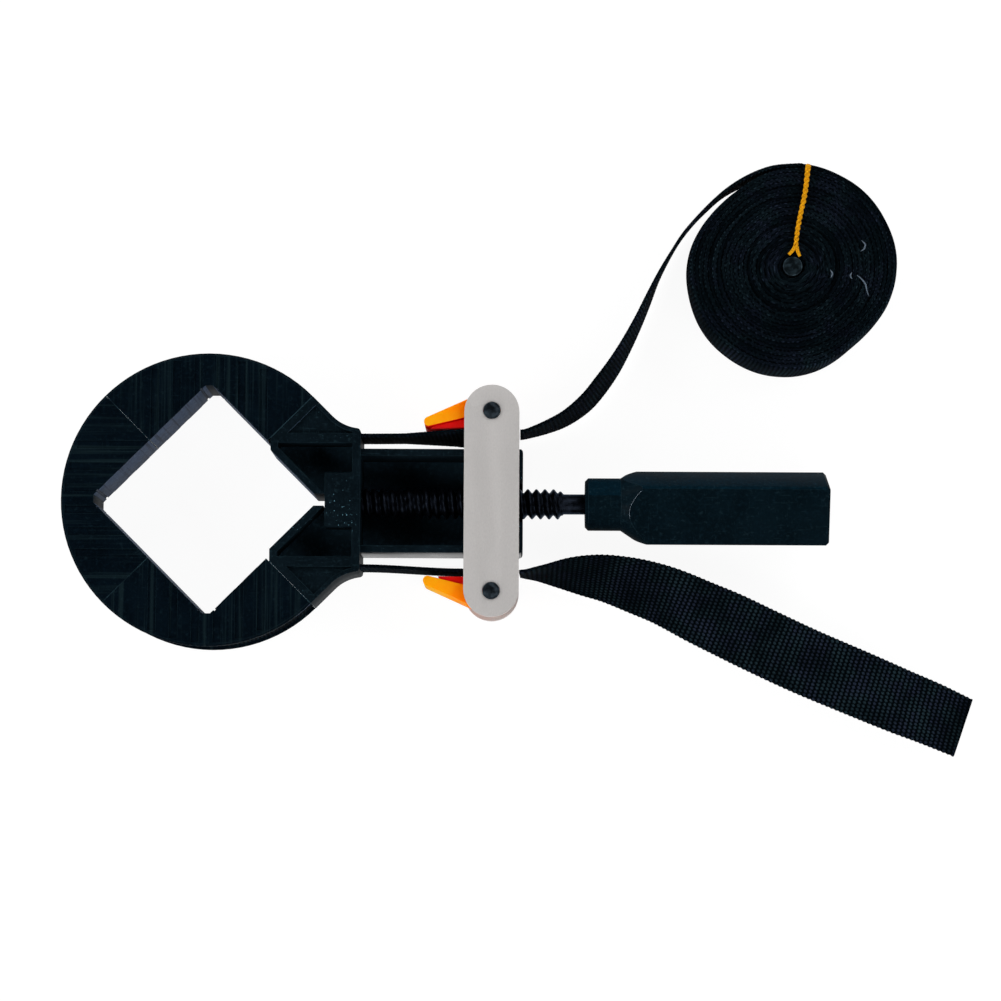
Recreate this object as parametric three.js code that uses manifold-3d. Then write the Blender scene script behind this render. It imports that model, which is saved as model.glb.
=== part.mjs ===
// A band clamp that lies flat: four jaws closed into a ring round a square opening, a band of webbing round
// them, and a screw with a handle that draws the two ends of the band through a crossbar with cam levers.
// Millimetres. X runs along the screw from the ring to the handle, Y across it, and Z up from the table.
// The side where the band comes in from its coil is the feed side (+Y); its cut end leaves on the tail side.

import * as THREE from "three";
import { mergeVertices } from "three/addons/utils/BufferGeometryUtils.js";
import Module from "manifold-3d";

const wasm = await Module();
wasm.setup();

// Driving dimensions of the webbing
const strapWidth = 25.4;
const strapThickness = 1.1;
const strapClearance = 0.3;
const strapEndGap = 0.3;

// Driving dimensions of the ring of jaws
const flangeThickness = 2;
const ringRadius = 55.4;
const jawCornerWall = 10.9;
const seamGap = 0.15;
const strapSink = 1.25;
const rimChamfer = 0.8;
const cornerFlat = 2.9;
const reliefFromCorner = 4.2;
const reliefWidth = 0.8;
const reliefDepth = 0.5;
const fluteWidth = 3.1;
const flutePitch = 8.2;
const fluteDepth = 0.5;
const fluteRim = 1.2;
const fluteCount = 6;

// Driving dimensions of the clamp body, a ribbed moulding with a V, two shoulders and a neck
const vSetBack = 2.4;
const noseFlat = 4.6;
const vWall = 2.7;
const vSlotWidth = 4.6;
const shoulderRadius = 16;
const shoulderHalfWidth = 27;
const shoulderShortfall = 0.675;
const shoulderWall = 1.4;
const shoulderCorner = 1.5;
const rearWall = 3;
const sideRibWidth = 3.7;
const sideRibInset = 1.8;
const seamRib = 3.1;
const blockSetBack = 1.9;
const blockHalfWidth = 10.1;
const pocketWeb = 2.4;
const shallowPocketDepth = 1;
const shallowPocketWall = 1.6;
const neckPastCrossbar = 11.85;
const neckHalfWidth = 19.6;
const neckDraft = 0.2;
const neckCorner = 1.8;
const railThickness = 2.6;
const neckFloor = 3;
const neckEndWall = 2;
const neckNotchRadius = 8;
const guideSlotWidth = 5.6;
const guideSlotSetBack = 8.7;

// Driving dimensions of the screw and its handle
const screwDiameter = 11.5;
const screwTipChamfer = 1;
const screwReachInBody = 10;
const threadPastCrossbar = 26.95;
const threadRunOut = 1.2;
const shankDiameter = 7.7;
const shankLength = 8.5;
const collarDiameter = 20;
const collarLength = 13.5;
const collarRound = 1.2;
const gripSide = 23.2;
const gripCorner = 1.6;
const gripAside = 1.2;
const gripTurnDegrees = 21.5;
const gripConeDegrees = 34;
const gripLength = 92.2;
const gripEndChamfer = 1.1;
const shankInGrip = 34;
const shankFit = 0.15;

// Driving dimensions of the crosshead: two plates, a nut, two pins, two anvils and two cam levers
const crossbarFromBody = 49.45;
const crossbarWidth = 20.8;
const crossbarPastPin = 9.8;
const pinSpacing = 68.1;
const pinDiameter = 6.4;
const pinFit = 0.1;
const pinHead = 0.7;
const pinChamfer = 0.5;
const runningGap = 0.3;
const boreFit = 0.35;
const nutLength = 19;
const nutSideGap = 0.4;
const anvilLength = 13.5;
const anvilDepth = 4.1;
const anvilRound = 1.5;
const camRadius = 5.65;
const camOffset = 0.9;
const camGap = 0.35;
const leverFit = 0.2;
const leverReach = 25.65;
const leverTipRadius = 1.8;
const leverTipDrop = 3.95;
const leverWaistReach = 10.75;
const leverWaistDrop = 2.55;
const leverBulge = 8;
const leverBulgeDegrees = 80;
const leverHeelDegrees = 25;

// Driving dimensions of the coil of spare webbing, its core pin and its tie
const coilPastCrossbar = 103.3;
const coilAside = 63.7;
const coilOuterRadius = 39.8;
const coilInnerRadius = 4.35;
const coilPitch = 1.67;
const coilEntryDegrees = 84;
const coilDentShare = 0.08;
const coilDentDegrees = 132;
const coilDentPower = 8;
const coreHeadDiameter = 7.4;
const coreHeadHeight = 1.4;
const coreHeadRound = 0.5;
const tieDiameter = 1.6;
const tieFlatness = 0.1;
const tieDegrees = 82;
const tieForkRadius = 6.4;
const tieForkSpread = 2.1;
const tieStandOff = 0.4;

// How finely curves are stepped, and the one overrun that all cuts share
const overrun = 1;
const mergeDistance = 1e-4;
const ringSteps = 96;
const curveSteps = 10;
const coilSteps = 24;
const tieSides = 6;

// Sizes that follow from the driving dimensions
const root2 = Math.SQRT2;
const channelHeight = strapWidth + 2 * strapClearance;
const jawHeight = channelHeight + 2 * flangeThickness;
const plateThickness = flangeThickness;
const axisZ = jawHeight / 2;
const holeHalfDiagonal = ringRadius - jawCornerWall;
const strapRadius = ringRadius - strapSink - strapThickness / 2;
const grooveRadius = strapRadius - strapThickness / 2 - strapClearance;
const seamOffset = seamGap / root2;
const vApexX = holeHalfDiagonal - vSetBack;
const noseX = (vApexX + seamOffset + noseFlat) / 2;
const blockFrontX = vApexX + blockSetBack;
const sideRibOuter = shoulderHalfWidth - sideRibInset;
const sideRibInner = sideRibOuter - sideRibWidth;
const shoulderStart = (ringRadius * root2 + seamOffset) / 2;
const shoulderCentreY = shoulderHalfWidth + shoulderRadius;
const shoulderCentreX = (ringRadius + shoulderRadius) * root2 - shoulderCentreY;
const rearX = shoulderCentreX - shoulderShortfall;
const strapInset = shoulderWall + strapClearance + strapThickness / 2;
const strapShoulderRadius = shoulderRadius + strapInset;
const strapLineSum = (ringRadius - strapInset) * root2;
const neckTop = jawHeight - plateThickness - runningGap;
const neckBase = plateThickness + runningGap;
const crossbarX = rearX + crossbarFromBody;
const exitX = crossbarX + crossbarWidth / 2;
const pinY = pinSpacing / 2;
const clampHalfWidth = pinY - camOffset - camRadius - camGap - strapThickness / 2;
const neckEndX = crossbarX + neckPastCrossbar;
const channelHalfWidth = neckHalfWidth - railThickness;
const channelEndX = neckEndX - neckEndWall;
const screwRadius = screwDiameter / 2;
const screwTipX = rearX - screwReachInBody;
const threadEndX = crossbarX + threadPastCrossbar;
const collarStartX = threadEndX + shankLength;
const gripConeX = collarStartX + collarLength;
const gripEndX = collarStartX + gripLength;
const coilX = exitX + coilPastCrossbar;
const coilY = clampHalfWidth + coilAside;
const coilBase = tieDiameter + 2 * tieFlatness;
const coreStemRadius = coilInnerRadius * (1 - coilDentShare) - strapThickness / 2 - strapClearance;

// The free runs of webbing, from where they leave the crossbar. Each point is the distance along X, the
// distance along Y, the height above the screw's axis, and the turn of the webbing's width away from
// upright, in degrees, towards the left of its direction.
const feedRoute = [
  [0.35, 0, 0, 0],
  [2.85, 0.4, 0, 0],
  [10.35, 3, 0, 3],
  [17.85, 6.6, 0, 6],
  [25.25, 12.4, 0, 9],
  [30.65, 18.8, 0, 10],
  [36.15, 26.6, 0, 9],
  [40.85, 34.8, 0, 7],
  [45.25, 43.6, -0.1, 5],
  [49.35, 52.8, -0.1, 3],
  [53.25, 61.6, -0.2, 2],
  [57.45, 69.4, -0.2, 1],
  [61.65, 76.3, -0.2, 0],
  [66.75, 82.7, -0.3, 0],
  [72.2, 88.4, -0.3, 0],
  [78, 93.6, -0.4, 0],
  [84.5, 97.7, -0.4, 0],
  [91, 100.6, -0.5, 0],
  [97.3, 102.2, -0.5, 0],
];
const tailRoute = [
  [0.35, 0, 0, 0],
  [2.85, 0, 0, 2],
  [8.85, 0.3, -0.3, 9],
  [17.85, 0.3, -1.1, 23],
  [25.85, -0.3, -1.9, 33],
  [34.85, -1.6, -2.7, 41],
  [45.85, -4.5, -3.5, 51],
  [56.85, -8.3, -4.1, 58],
  [69.85, -14.3, -4.5, 68],
  [79.85, -18.8, -4.7, 77],
  [91.85, -24.5, -5, 86],
  [108.85, -32.3, -5.6, 91],
  [128.85, -40.6, -6.5, 96],
  [144.85, -47.2, -7.4, 102],
  [156.85, -51.9, -8.2, 107],
  [169.35, -57.3, -9.1, 113],
];

// Solids from three.js geometries

function solidOf(geometry) {
  const bare = new THREE.BufferGeometry();
  bare.setAttribute("position", geometry.getAttribute("position"));
  bare.setIndex(geometry.getIndex());
  const merged = mergeVertices(bare, mergeDistance);
  return new wasm.Manifold(
    new wasm.Mesh({
      numProp: 3,
      vertProperties: new Float32Array(merged.getAttribute("position").array),
      triVerts: new Uint32Array(merged.getIndex().array),
    }),
  );
}

function geometryOf(solid) {
  const mesh = solid.getMesh();
  const geometry = new THREE.BufferGeometry();
  geometry.setAttribute("position", new THREE.BufferAttribute(mesh.vertProperties, mesh.numProp));
  geometry.setIndex(new THREE.BufferAttribute(mesh.triVerts, 1));
  geometry.computeVertexNormals();
  return geometry;
}

// An outline in X and Y, from one height to another.
function prism(shape, low, high) {
  const geometry = new THREE.ExtrudeGeometry(shape, {
    depth: high - low,
    bevelEnabled: false,
    curveSegments: curveSteps,
  });
  return solidOf(geometry.translate(0, 0, low));
}

// Lays an outline's own X and Y along Y and Z, and its depth along X.
const alongX = new THREE.Matrix4().makeBasis(
  new THREE.Vector3(0, 1, 0),
  new THREE.Vector3(0, 0, 1),
  new THREE.Vector3(1, 0, 0),
);

// An outline in Y and Z, from one X to another.
function prismAlongX(shape, low, high) {
  const geometry = new THREE.ExtrudeGeometry(shape, {
    depth: high - low,
    bevelEnabled: false,
    curveSegments: curveSteps,
  });
  return solidOf(geometry.applyMatrix4(alongX).translate(low, 0, 0));
}

function box(x0, x1, y0, y1, z0, z1) {
  const geometry = new THREE.BoxGeometry(x1 - x0, y1 - y0, z1 - z0);
  return solidOf(geometry.translate((x0 + x1) / 2, (y0 + y1) / 2, (z0 + z1) / 2));
}

// A profile of [radius, height] points turned about Z.
function turned(profile, steps) {
  const points = profile.map(([radius, height]) => new THREE.Vector2(radius, height));
  return solidOf(new THREE.LatheGeometry(points, steps).rotateX(Math.PI / 2));
}

// A profile of [radius, X] points turned about the screw's axis.
function turnedAboutScrew(profile, steps) {
  const points = profile.map(([radius, x]) => new THREE.Vector2(radius, x));
  const geometry = new THREE.LatheGeometry(points, steps).rotateZ(-Math.PI / 2);
  return solidOf(geometry.translate(0, 0, axisZ));
}

function cylinderAlongZ(x, y, radius, low, high, steps) {
  const profile = [
    [0, low],
    [radius, low],
    [radius, high],
    [0, high],
  ];
  return turned(profile, steps).translate(x, y, 0);
}

function cylinderAlongScrew(radius, low, high, steps) {
  const profile = [
    [0, low],
    [radius, low],
    [radius, high],
    [0, high],
  ];
  return turnedAboutScrew(profile, steps);
}

function outline(points) {
  return new THREE.Shape(points.map(([x, y]) => new THREE.Vector2(x, y)));
}

function rad(degrees) {
  return THREE.MathUtils.degToRad(degrees);
}

// Rings of points, one after the other, joined into a closed skin with flat ends.
function loft(rings) {
  const sides = rings[0].length;
  const positions = rings.flat().flatMap((point) => [point.x, point.y, point.z]);
  const faces = [];
  for (let ring = 0; ring + 1 < rings.length; ring++) {
    for (let side = 0; side < sides; side++) {
      const a = ring * sides + side;
      const b = ring * sides + ((side + 1) % sides);
      faces.push(a, b, b + sides, a, b + sides, a + sides);
    }
  }
  const last = (rings.length - 1) * sides;
  for (let side = 1; side + 1 < sides; side++) {
    faces.push(0, side + 1, side);
    faces.push(last, last + side, last + side + 1);
  }
  const geometry = new THREE.BufferGeometry();
  geometry.setAttribute("position", new THREE.Float32BufferAttribute(positions, 3));
  geometry.setIndex(faces);
  return solidOf(geometry);
}

// A flat band along points. turns holds, for each point, how far its width is turned away from upright.
function band(points, turns, width, thickness) {
  const up = new THREE.Vector3(0, 0, 1);
  const rings = points.map((point, index) => {
    const before = points[Math.max(index - 1, 0)];
    const after = points[Math.min(index + 1, points.length - 1)];
    const along = new THREE.Vector3().subVectors(after, before).normalize();
    const left = new THREE.Vector3().crossVectors(up, along).normalize();
    const across = new THREE.Vector3().crossVectors(along, left).applyAxisAngle(along, -turns[index]);
    const out = new THREE.Vector3().crossVectors(across, along).normalize();
    const corner = (a, b) =>
      point
        .clone()
        .addScaledVector(across, (a * width) / 2)
        .addScaledVector(out, (b * thickness) / 2);
    return [corner(-1, -1), corner(-1, 1), corner(1, 1), corner(1, -1)];
  });
  return loft(rings);
}

function uprightBand(points, width, thickness, height) {
  const raised = points.map(([x, y]) => new THREE.Vector3(x, y, height));
  return band(
    raised,
    raised.map(() => 0),
    width,
    thickness,
  );
}

// Points of an arc, from one angle to another, in degrees.
function arcPoints(centreX, centreY, radius, from, to, steps) {
  const points = [];
  for (let step = 0; step <= steps; step++) {
    const angle = rad(from + ((to - from) * step) / steps);
    points.push([centreX + radius * Math.cos(angle), centreY + radius * Math.sin(angle)]);
  }
  return points;
}

function mirroredAcross(solid) {
  return solid.mirror([0, 1, 0]);
}

// The jaws

// The ring that all four jaws are cut from, with a groove for the webbing between two flanges.
function jawRing() {
  const inner = holeHalfDiagonal / root2 / 2;
  const grooveLow = (jawHeight - channelHeight) / 2;
  const grooveHigh = jawHeight - grooveLow;
  const profile = [
    [inner, 0],
    [ringRadius - rimChamfer, 0],
    [ringRadius, rimChamfer],
    [ringRadius, grooveLow],
    [grooveRadius, grooveLow],
    [grooveRadius, grooveHigh],
    [ringRadius, grooveHigh],
    [ringRadius, jawHeight - rimChamfer],
    [ringRadius - rimChamfer, jawHeight],
    [inner, jawHeight],
    [inner, 0],
  ];
  return turned(profile, ringSteps);
}

// A quarter of the ring about +X, half a seam gap inside each diagonal.
function jawQuarter() {
  const reach = ringRadius + overrun;
  const points = [
    [seamOffset, 0],
    [reach, seamOffset - reach],
    [reach, reach - seamOffset],
  ];
  return prism(outline(points), -overrun, jawHeight + overrun);
}

// The square opening, with its corner at +X cut square.
function squareHole() {
  const flat = cornerFlat / 2;
  const points = [
    [0, holeHalfDiagonal],
    [-holeHalfDiagonal, 0],
    [0, -holeHalfDiagonal],
    [holeHalfDiagonal - flat, -flat],
    [holeHalfDiagonal - flat, flat],
  ];
  return prism(outline(points), -overrun, jawHeight + overrun);
}

// A shallow upright groove in each inner face, near the corner.
function cornerReliefs() {
  const depth = reliefDepth + overrun;
  const cut = box(-depth, reliefDepth, -reliefWidth / 2, reliefWidth / 2, -overrun, jawHeight + overrun);
  const along = reliefFromCorner / root2;
  const upper = cut.rotate([0, 0, 45]).translate(holeHalfDiagonal - along, along, 0);
  return upper.add(mirroredAcross(upper));
}

// Flutes along the jaw's middle line, in its upper and lower faces.
function flutes() {
  const cuts = [];
  for (let index = 0; index < fluteCount; index++) {
    const y = (index - (fluteCount - 1) / 2) * flutePitch;
    const reach = Math.sqrt((ringRadius - fluteRim) ** 2 - (Math.abs(y) + fluteWidth / 2) ** 2);
    const span = [0, reach, y - fluteWidth / 2, y + fluteWidth / 2];
    cuts.push(box(...span, -overrun, fluteDepth));
    cuts.push(box(...span, jawHeight - fluteDepth, jawHeight + overrun));
  }
  return wasm.Manifold.union(cuts);
}

function cornerJaw(turnDegrees) {
  return jawRing()
    .intersect(jawQuarter())
    .subtract(squareHole())
    .subtract(cornerReliefs())
    .subtract(flutes())
    .rotate([0, 0, turnDegrees]);
}

// The clamp body

// The line and arc along one shoulder, set in from its outer face by a distance.
function shoulderEdge(shape, inset, endX) {
  const radius = shoulderRadius + inset;
  const drop = Math.sqrt(radius ** 2 - (shoulderCentreX - endX) ** 2);
  const end = Math.atan2(-drop, endX - shoulderCentreX);
  shape.lineTo(shoulderCentreX - radius / root2, shoulderCentreY - radius / root2);
  shape.absarc(shoulderCentreX, shoulderCentreY, radius, rad(-135), end, false);
}

function bodyOutline() {
  const half = new THREE.Shape();
  half.moveTo(vApexX, 0);
  half.lineTo(noseX, vApexX - noseX);
  half.lineTo(noseX, noseX - seamOffset);
  half.lineTo(shoulderStart, shoulderStart - seamOffset);
  shoulderEdge(half, 0, rearX - shoulderCorner);
  half.quadraticCurveTo(rearX, shoulderHalfWidth, rearX, shoulderHalfWidth - shoulderCorner);
  half.lineTo(rearX, 0);
  return half;
}

// All that lies behind the V's wall.
function behindV() {
  const start = vApexX + vWall * root2;
  return outline([
    [start, 0],
    [rearX, 0],
    [rearX, sideRibOuter],
    [start - sideRibOuter, sideRibOuter],
  ]);
}

// A deep pocket beside the thrust block: inside the V wall, the side rib and the rear wall.
function deepPocket(low, high) {
  const block = box(blockFrontX, rearX, -overrun, blockHalfWidth, low, high);
  return box(noseX + vWall, rearX - rearWall, 0, sideRibInner, low, high)
    .intersect(prism(behindV(), low, high))
    .subtract(block);
}

// A shallow pocket between the side rib and the shoulder.
function shallowPocket() {
  const start = (ringRadius - shallowPocketWall) / root2;
  const shape = new THREE.Shape();
  shape.moveTo(sideRibOuter, sideRibOuter);
  shape.lineTo(start, start);
  shoulderEdge(shape, shallowPocketWall, rearX - rearWall);
  shape.lineTo(rearX - rearWall, sideRibOuter);
  return shape;
}

// All that lies inside the rib along the seam.
function insideSeamRib() {
  const side = seamOffset + seamRib * root2;
  return outline([
    [side, 0],
    [rearX, 0],
    [rearX, rearX - side],
  ]);
}

// The pockets in both faces, none of which reaches into the rib along the seam.
function pockets() {
  const webHalf = pocketWeb / 2;
  return deepPocket(axisZ + webHalf, jawHeight + overrun)
    .add(deepPocket(-overrun, axisZ - webHalf))
    .add(prism(shallowPocket(), jawHeight - shallowPocketDepth, jawHeight + overrun))
    .add(prism(shallowPocket(), -overrun, shallowPocketDepth))
    .intersect(prism(insideSeamRib(), -overrun, jawHeight + overrun));
}

// The webbing's middle line inside one shoulder, from the seam to where the arc has turned to an angle.
function shoulderLine(start, endDegrees) {
  const first = [strapLineSum / 2 + start / root2, strapLineSum / 2 - start / root2];
  const centre = [shoulderCentreX, shoulderCentreY];
  return [first, ...arcPoints(...centre, strapShoulderRadius, -135, endDegrees, curveSteps)];
}

function strapChannel() {
  const line = shoulderLine(-overrun, -90);
  return uprightBand(line, channelHeight, strapThickness + 2 * strapClearance, axisZ);
}

// A slot through the point of the V, as far as the thrust block.
function vSlot() {
  const half = vSlotWidth / 2;
  return box(vApexX - vSlotWidth, blockFrontX, -half, half, -overrun, jawHeight + overrun);
}

function bodySide() {
  return prism(bodyOutline(), 0, jawHeight).subtract(pockets()).subtract(strapChannel());
}

// The neck's plan: square where it joins the body, and rounded at the end by the handle.
function neckPlan() {
  const reach = neckHalfWidth + neckDraft;
  const shape = new THREE.Shape();
  shape.moveTo(rearX - rearWall, -reach);
  shape.lineTo(neckEndX - neckCorner, -reach);
  shape.quadraticCurveTo(neckEndX, -reach, neckEndX, neckCorner - reach);
  shape.lineTo(neckEndX, reach - neckCorner);
  shape.quadraticCurveTo(neckEndX, reach, neckEndX - neckCorner, reach);
  shape.lineTo(rearX - rearWall, reach);
  return shape;
}

// A trough with two drafted rails and a floor, a guide slot in the floor and a notch in its end wall.
function neck() {
  const baseHalfWidth = neckHalfWidth + neckDraft;
  const section = outline([
    [-baseHalfWidth, neckBase],
    [baseHalfWidth, neckBase],
    [neckHalfWidth, neckTop],
    [-neckHalfWidth, neckTop],
  ]);
  const slot = guideSlotWidth / 2;
  const floorTop = neckBase + neckFloor;
  const notch = [-neckNotchRadius, neckNotchRadius];
  return prismAlongX(section, rearX - rearWall, neckEndX)
    .intersect(prism(neckPlan(), 0, jawHeight))
    .subtract(box(rearX, channelEndX, -channelHalfWidth, channelHalfWidth, floorTop, jawHeight))
    .subtract(box(rearX + guideSlotSetBack, channelEndX, -slot, slot, 0, jawHeight))
    .subtract(cylinderAlongScrew(neckNotchRadius, channelEndX - overrun, neckEndX + overrun, ringSteps / 3))
    .subtract(box(channelEndX - overrun, neckEndX + overrun, ...notch, axisZ, jawHeight));
}

function clampBody() {
  const side = bodySide();
  const bore = cylinderAlongScrew(screwRadius + boreFit, screwTipX - boreFit, rearX + overrun, ringSteps / 3);
  return side.add(mirroredAcross(side)).add(neck()).subtract(bore).subtract(vSlot());
}

// The screw and its handle

function screw() {
  const shankRadius = shankDiameter / 2;
  const profile = [
    [0, screwTipX],
    [screwRadius - screwTipChamfer, screwTipX],
    [screwRadius, screwTipX + screwTipChamfer],
    [screwRadius, threadEndX - threadRunOut],
    [shankRadius, threadEndX],
    [shankRadius, collarStartX + shankInGrip],
    [0, collarStartX + shankInGrip],
  ];
  return turnedAboutScrew(profile, ringSteps / 4);
}

// The grip's square section, with rounded edges.
function gripSection() {
  const flat = gripSide / 2 - gripCorner;
  const points = [];
  for (let corner = 0; corner < 4; corner++) {
    const middle = 45 + 90 * corner;
    const centre = [flat * root2 * Math.cos(rad(middle)), flat * root2 * Math.sin(rad(middle))];
    points.push(...arcPoints(...centre, gripCorner, middle - 45, middle + 45, 3));
  }
  return outline(points);
}

// The grip's square prism, set a little aside of the screw's axis as it lies, with chamfered ends.
function gripPrism() {
  const geometry = new THREE.ExtrudeGeometry(gripSection(), {
    depth: gripEndX - collarStartX - 2 * gripEndChamfer,
    bevelThickness: gripEndChamfer,
    bevelSize: gripEndChamfer,
    bevelOffset: -gripEndChamfer,
    bevelSegments: 1,
  });
  return solidOf(geometry.applyMatrix4(alongX).translate(collarStartX + gripEndChamfer, 0, 0))
    .rotate([gripTurnDegrees, 0, 0])
    .translate(0, -gripAside, axisZ);
}

// The turned form that the square grip is cut by: a collar, a cone and the shank's bore.
function gripTurning() {
  const widest = gripSide + gripAside;
  const boreEnd = collarStartX + shankInGrip + shankFit;
  const boreRadius = shankDiameter / 2 + shankFit;
  const collarRadius = collarDiameter / 2;
  const profile = [
    [boreRadius, collarStartX],
    [collarRadius - collarRound, collarStartX],
    [collarRadius, collarStartX + collarRound],
    [collarRadius, gripConeX],
    [widest, gripConeX + (widest - collarRadius) / Math.tan(rad(gripConeDegrees))],
    [widest, gripEndX],
    [0, gripEndX],
    [0, boreEnd],
    [boreRadius, boreEnd],
    [boreRadius, collarStartX],
  ];
  return turnedAboutScrew(profile, ringSteps / 2);
}

function handleGrip() {
  const collar = cylinderAlongScrew(collarDiameter / 2, collarStartX, gripConeX, ringSteps / 2);
  return gripPrism().add(collar).intersect(gripTurning());
}

// The crosshead

function crossbarPlate(low) {
  const radius = crossbarWidth / 2;
  const endY = pinY + crossbarPastPin - radius;
  const shape = new THREE.Shape();
  shape.absarc(0, endY, radius, 0, Math.PI, false);
  shape.absarc(0, -endY, radius, Math.PI, 2 * Math.PI, false);
  const hole = pinDiameter / 2 + pinFit;
  const high = low + plateThickness;
  return prism(shape, low, high)
    .subtract(cylinderAlongZ(0, pinY, hole, low - overrun, high + overrun, ringSteps / 3))
    .subtract(cylinderAlongZ(0, -pinY, hole, low - overrun, high + overrun, ringSteps / 3))
    .translate(crossbarX, 0, 0);
}

// A riveted pin: flush below and standing a little above the upper plate.
function pivotPin() {
  const radius = pinDiameter / 2;
  const top = jawHeight + pinHead;
  const profile = [
    [0, 0],
    [radius, 0],
    [radius, top - pinChamfer],
    [radius - pinChamfer, top],
    [0, top],
  ];
  return turned(profile, ringSteps / 3).translate(crossbarX, pinY, 0);
}

// The nut slides in the neck's trough, and its foot reaches the lower plate through the guide slot.
function spindleNut() {
  const start = crossbarX - nutLength / 2;
  const end = crossbarX + nutLength / 2;
  const half = channelHalfWidth - nutSideGap;
  const foot = guideSlotWidth / 2 - nutSideGap;
  const floorTop = neckBase + neckFloor + nutSideGap;
  return box(start, end, -half, half, floorTop, neckTop)
    .add(box(start, end, -foot, foot, plateThickness + runningGap, floorTop + overrun))
    .subtract(cylinderAlongScrew(screwRadius + boreFit, start - overrun, end + overrun, ringSteps / 3));
}

// A fixed block between the plates that a cam presses the webbing against.
function strapAnvil() {
  const face = clampHalfWidth - strapThickness / 2 - strapClearance;
  const half = anvilLength / 2;
  const shape = new THREE.Shape();
  shape.moveTo(-half, face - anvilDepth);
  shape.lineTo(half, face - anvilDepth);
  shape.lineTo(half, face - anvilRound);
  shape.quadraticCurveTo(half, face, half - anvilRound, face);
  shape.lineTo(anvilRound - half, face);
  shape.quadraticCurveTo(-half, face, -half, face - anvilRound);
  return prism(shape, neckBase, neckTop).translate(crossbarX, 0, 0);
}

// A lever with an eccentric hub, its tip towards the jaws. The outline is drawn about its pin.
function camLever() {
  const tipX = leverTipRadius - leverReach;
  const tipY = -leverTipDrop;
  const away = Math.hypot(tipX, tipY);
  const bearing = Math.atan2(tipY, tipX);
  const tangent = bearing - Math.acos((leverBulge - leverTipRadius) / away);
  const bulgeEnd = rad(leverBulgeDegrees);
  const heel = rad(leverHeelDegrees);
  const shape = new THREE.Shape();
  shape.moveTo(-leverWaistReach, -leverWaistDrop);
  shape.lineTo(tipX, tipY - leverTipRadius);
  shape.absarc(tipX, tipY, leverTipRadius, rad(-90), tangent, true);
  shape.absarc(0, 0, leverBulge, tangent, bulgeEnd, true);
  shape.absarc(0, -camOffset, camRadius, heel, rad(-170), true);
  const hole = cylinderAlongZ(0, 0, pinDiameter / 2 + leverFit, 0, jawHeight, ringSteps / 3);
  return prism(shape, neckBase, neckTop).subtract(hole).translate(crossbarX, pinY, 0);
}

// The webbing held by the clamp

function strapOnShoulder() {
  const gap = THREE.MathUtils.radToDeg(strapEndGap / strapShoulderRadius);
  const line = shoulderLine(strapEndGap / 2, -90 - gap);
  return uprightBand(line, strapWidth, strapThickness, axisZ);
}

function strapOnNeck() {
  const startX = shoulderCentreX;
  const startY = shoulderCentreY - strapShoulderRadius;
  const endX = crossbarX - crossbarWidth / 2;
  const line = [];
  for (let step = 0; step <= curveSteps; step++) {
    const share = step / curveSteps;
    const eased = share * share * (3 - 2 * share);
    line.push([startX + (endX - startX) * share, startY + (clampHalfWidth - startY) * eased]);
  }
  return uprightBand(line, strapWidth, strapThickness, axisZ);
}

function strapInCrossbar() {
  const half = crossbarWidth / 2;
  const line = [
    [crossbarX - half + strapEndGap, clampHalfWidth],
    [crossbarX, clampHalfWidth],
    [crossbarX + half, clampHalfWidth],
  ];
  return uprightBand(line, strapWidth, strapThickness, axisZ);
}

// An arc of webbing in the jaws' groove, between two angles, short of both by half an end gap.
function strapOnJaws(from, to) {
  const gap = THREE.MathUtils.radToDeg(strapEndGap / 2 / strapRadius);
  const steps = Math.round(((to - from) * ringSteps) / 360);
  const line = arcPoints(0, 0, strapRadius, to - gap, from + gap, steps);
  return uprightBand(line, strapWidth, strapThickness, axisZ);
}

// The free webbing

// A route's points, placed from where the webbing leaves the crossbar.
function fromExit(route, exitY) {
  return route.map(([x, y, z, turn]) => [exitX + x, exitY + y, axisZ + z, turn]);
}

// The coil's radius at an angle and a number of turns in: a spiral pressed in on two opposite sides.
function coilRadius(angle, turn) {
  const outer = coilOuterRadius - strapThickness / 2;
  const dent = coilDentShare * Math.cos(angle - rad(coilDentDegrees)) ** coilDentPower;
  return (outer - turn * coilPitch) * (1 - dent);
}

// The feed run's route, led on to the coil's entry, where it lies along the coil's outer loop.
function feedToCoil() {
  const angle = rad(coilEntryDegrees);
  const radius = coilRadius(angle, 0);
  const short = (gap) => [
    coilX + radius * Math.cos(angle) - gap * Math.sin(angle),
    coilY + radius * Math.sin(angle) + gap * Math.cos(angle),
    coilBase + strapWidth / 2,
    0,
  ];
  return [...fromExit(feedRoute, clampHalfWidth), short(strapEndGap + strapThickness), short(strapEndGap)];
}

// A free run of webbing along a smooth curve through its route.
function freeStrap(route, stepsPerSpan) {
  const curve = new THREE.CatmullRomCurve3(route.map(([x, y, z]) => new THREE.Vector3(x, y, z)));
  const turns = new THREE.CatmullRomCurve3(route.map((point) => new THREE.Vector3(rad(point[3]), 0, 0)));
  const steps = (route.length - 1) * stepsPerSpan;
  const points = [];
  const angles = [];
  for (let step = 0; step <= steps; step++) {
    points.push(curve.getPoint(step / steps));
    angles.push(turns.getPoint(step / steps).x);
  }
  return band(points, angles, strapWidth, strapThickness);
}

// The coil's middle line, from where the feed run meets it inwards: one unbroken spiral.
function coilLine() {
  const outer = coilOuterRadius - strapThickness / 2;
  const loops = (outer - coilInnerRadius) / coilPitch;
  const steps = Math.round(loops * coilSteps);
  const points = [];
  for (let step = 0; step <= steps; step++) {
    const turn = (step / steps) * loops;
    const angle = rad(coilEntryDegrees) - turn * 2 * Math.PI;
    const radius = coilRadius(angle, turn);
    points.push([coilX + radius * Math.cos(angle), coilY + radius * Math.sin(angle)]);
  }
  return points;
}

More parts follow.
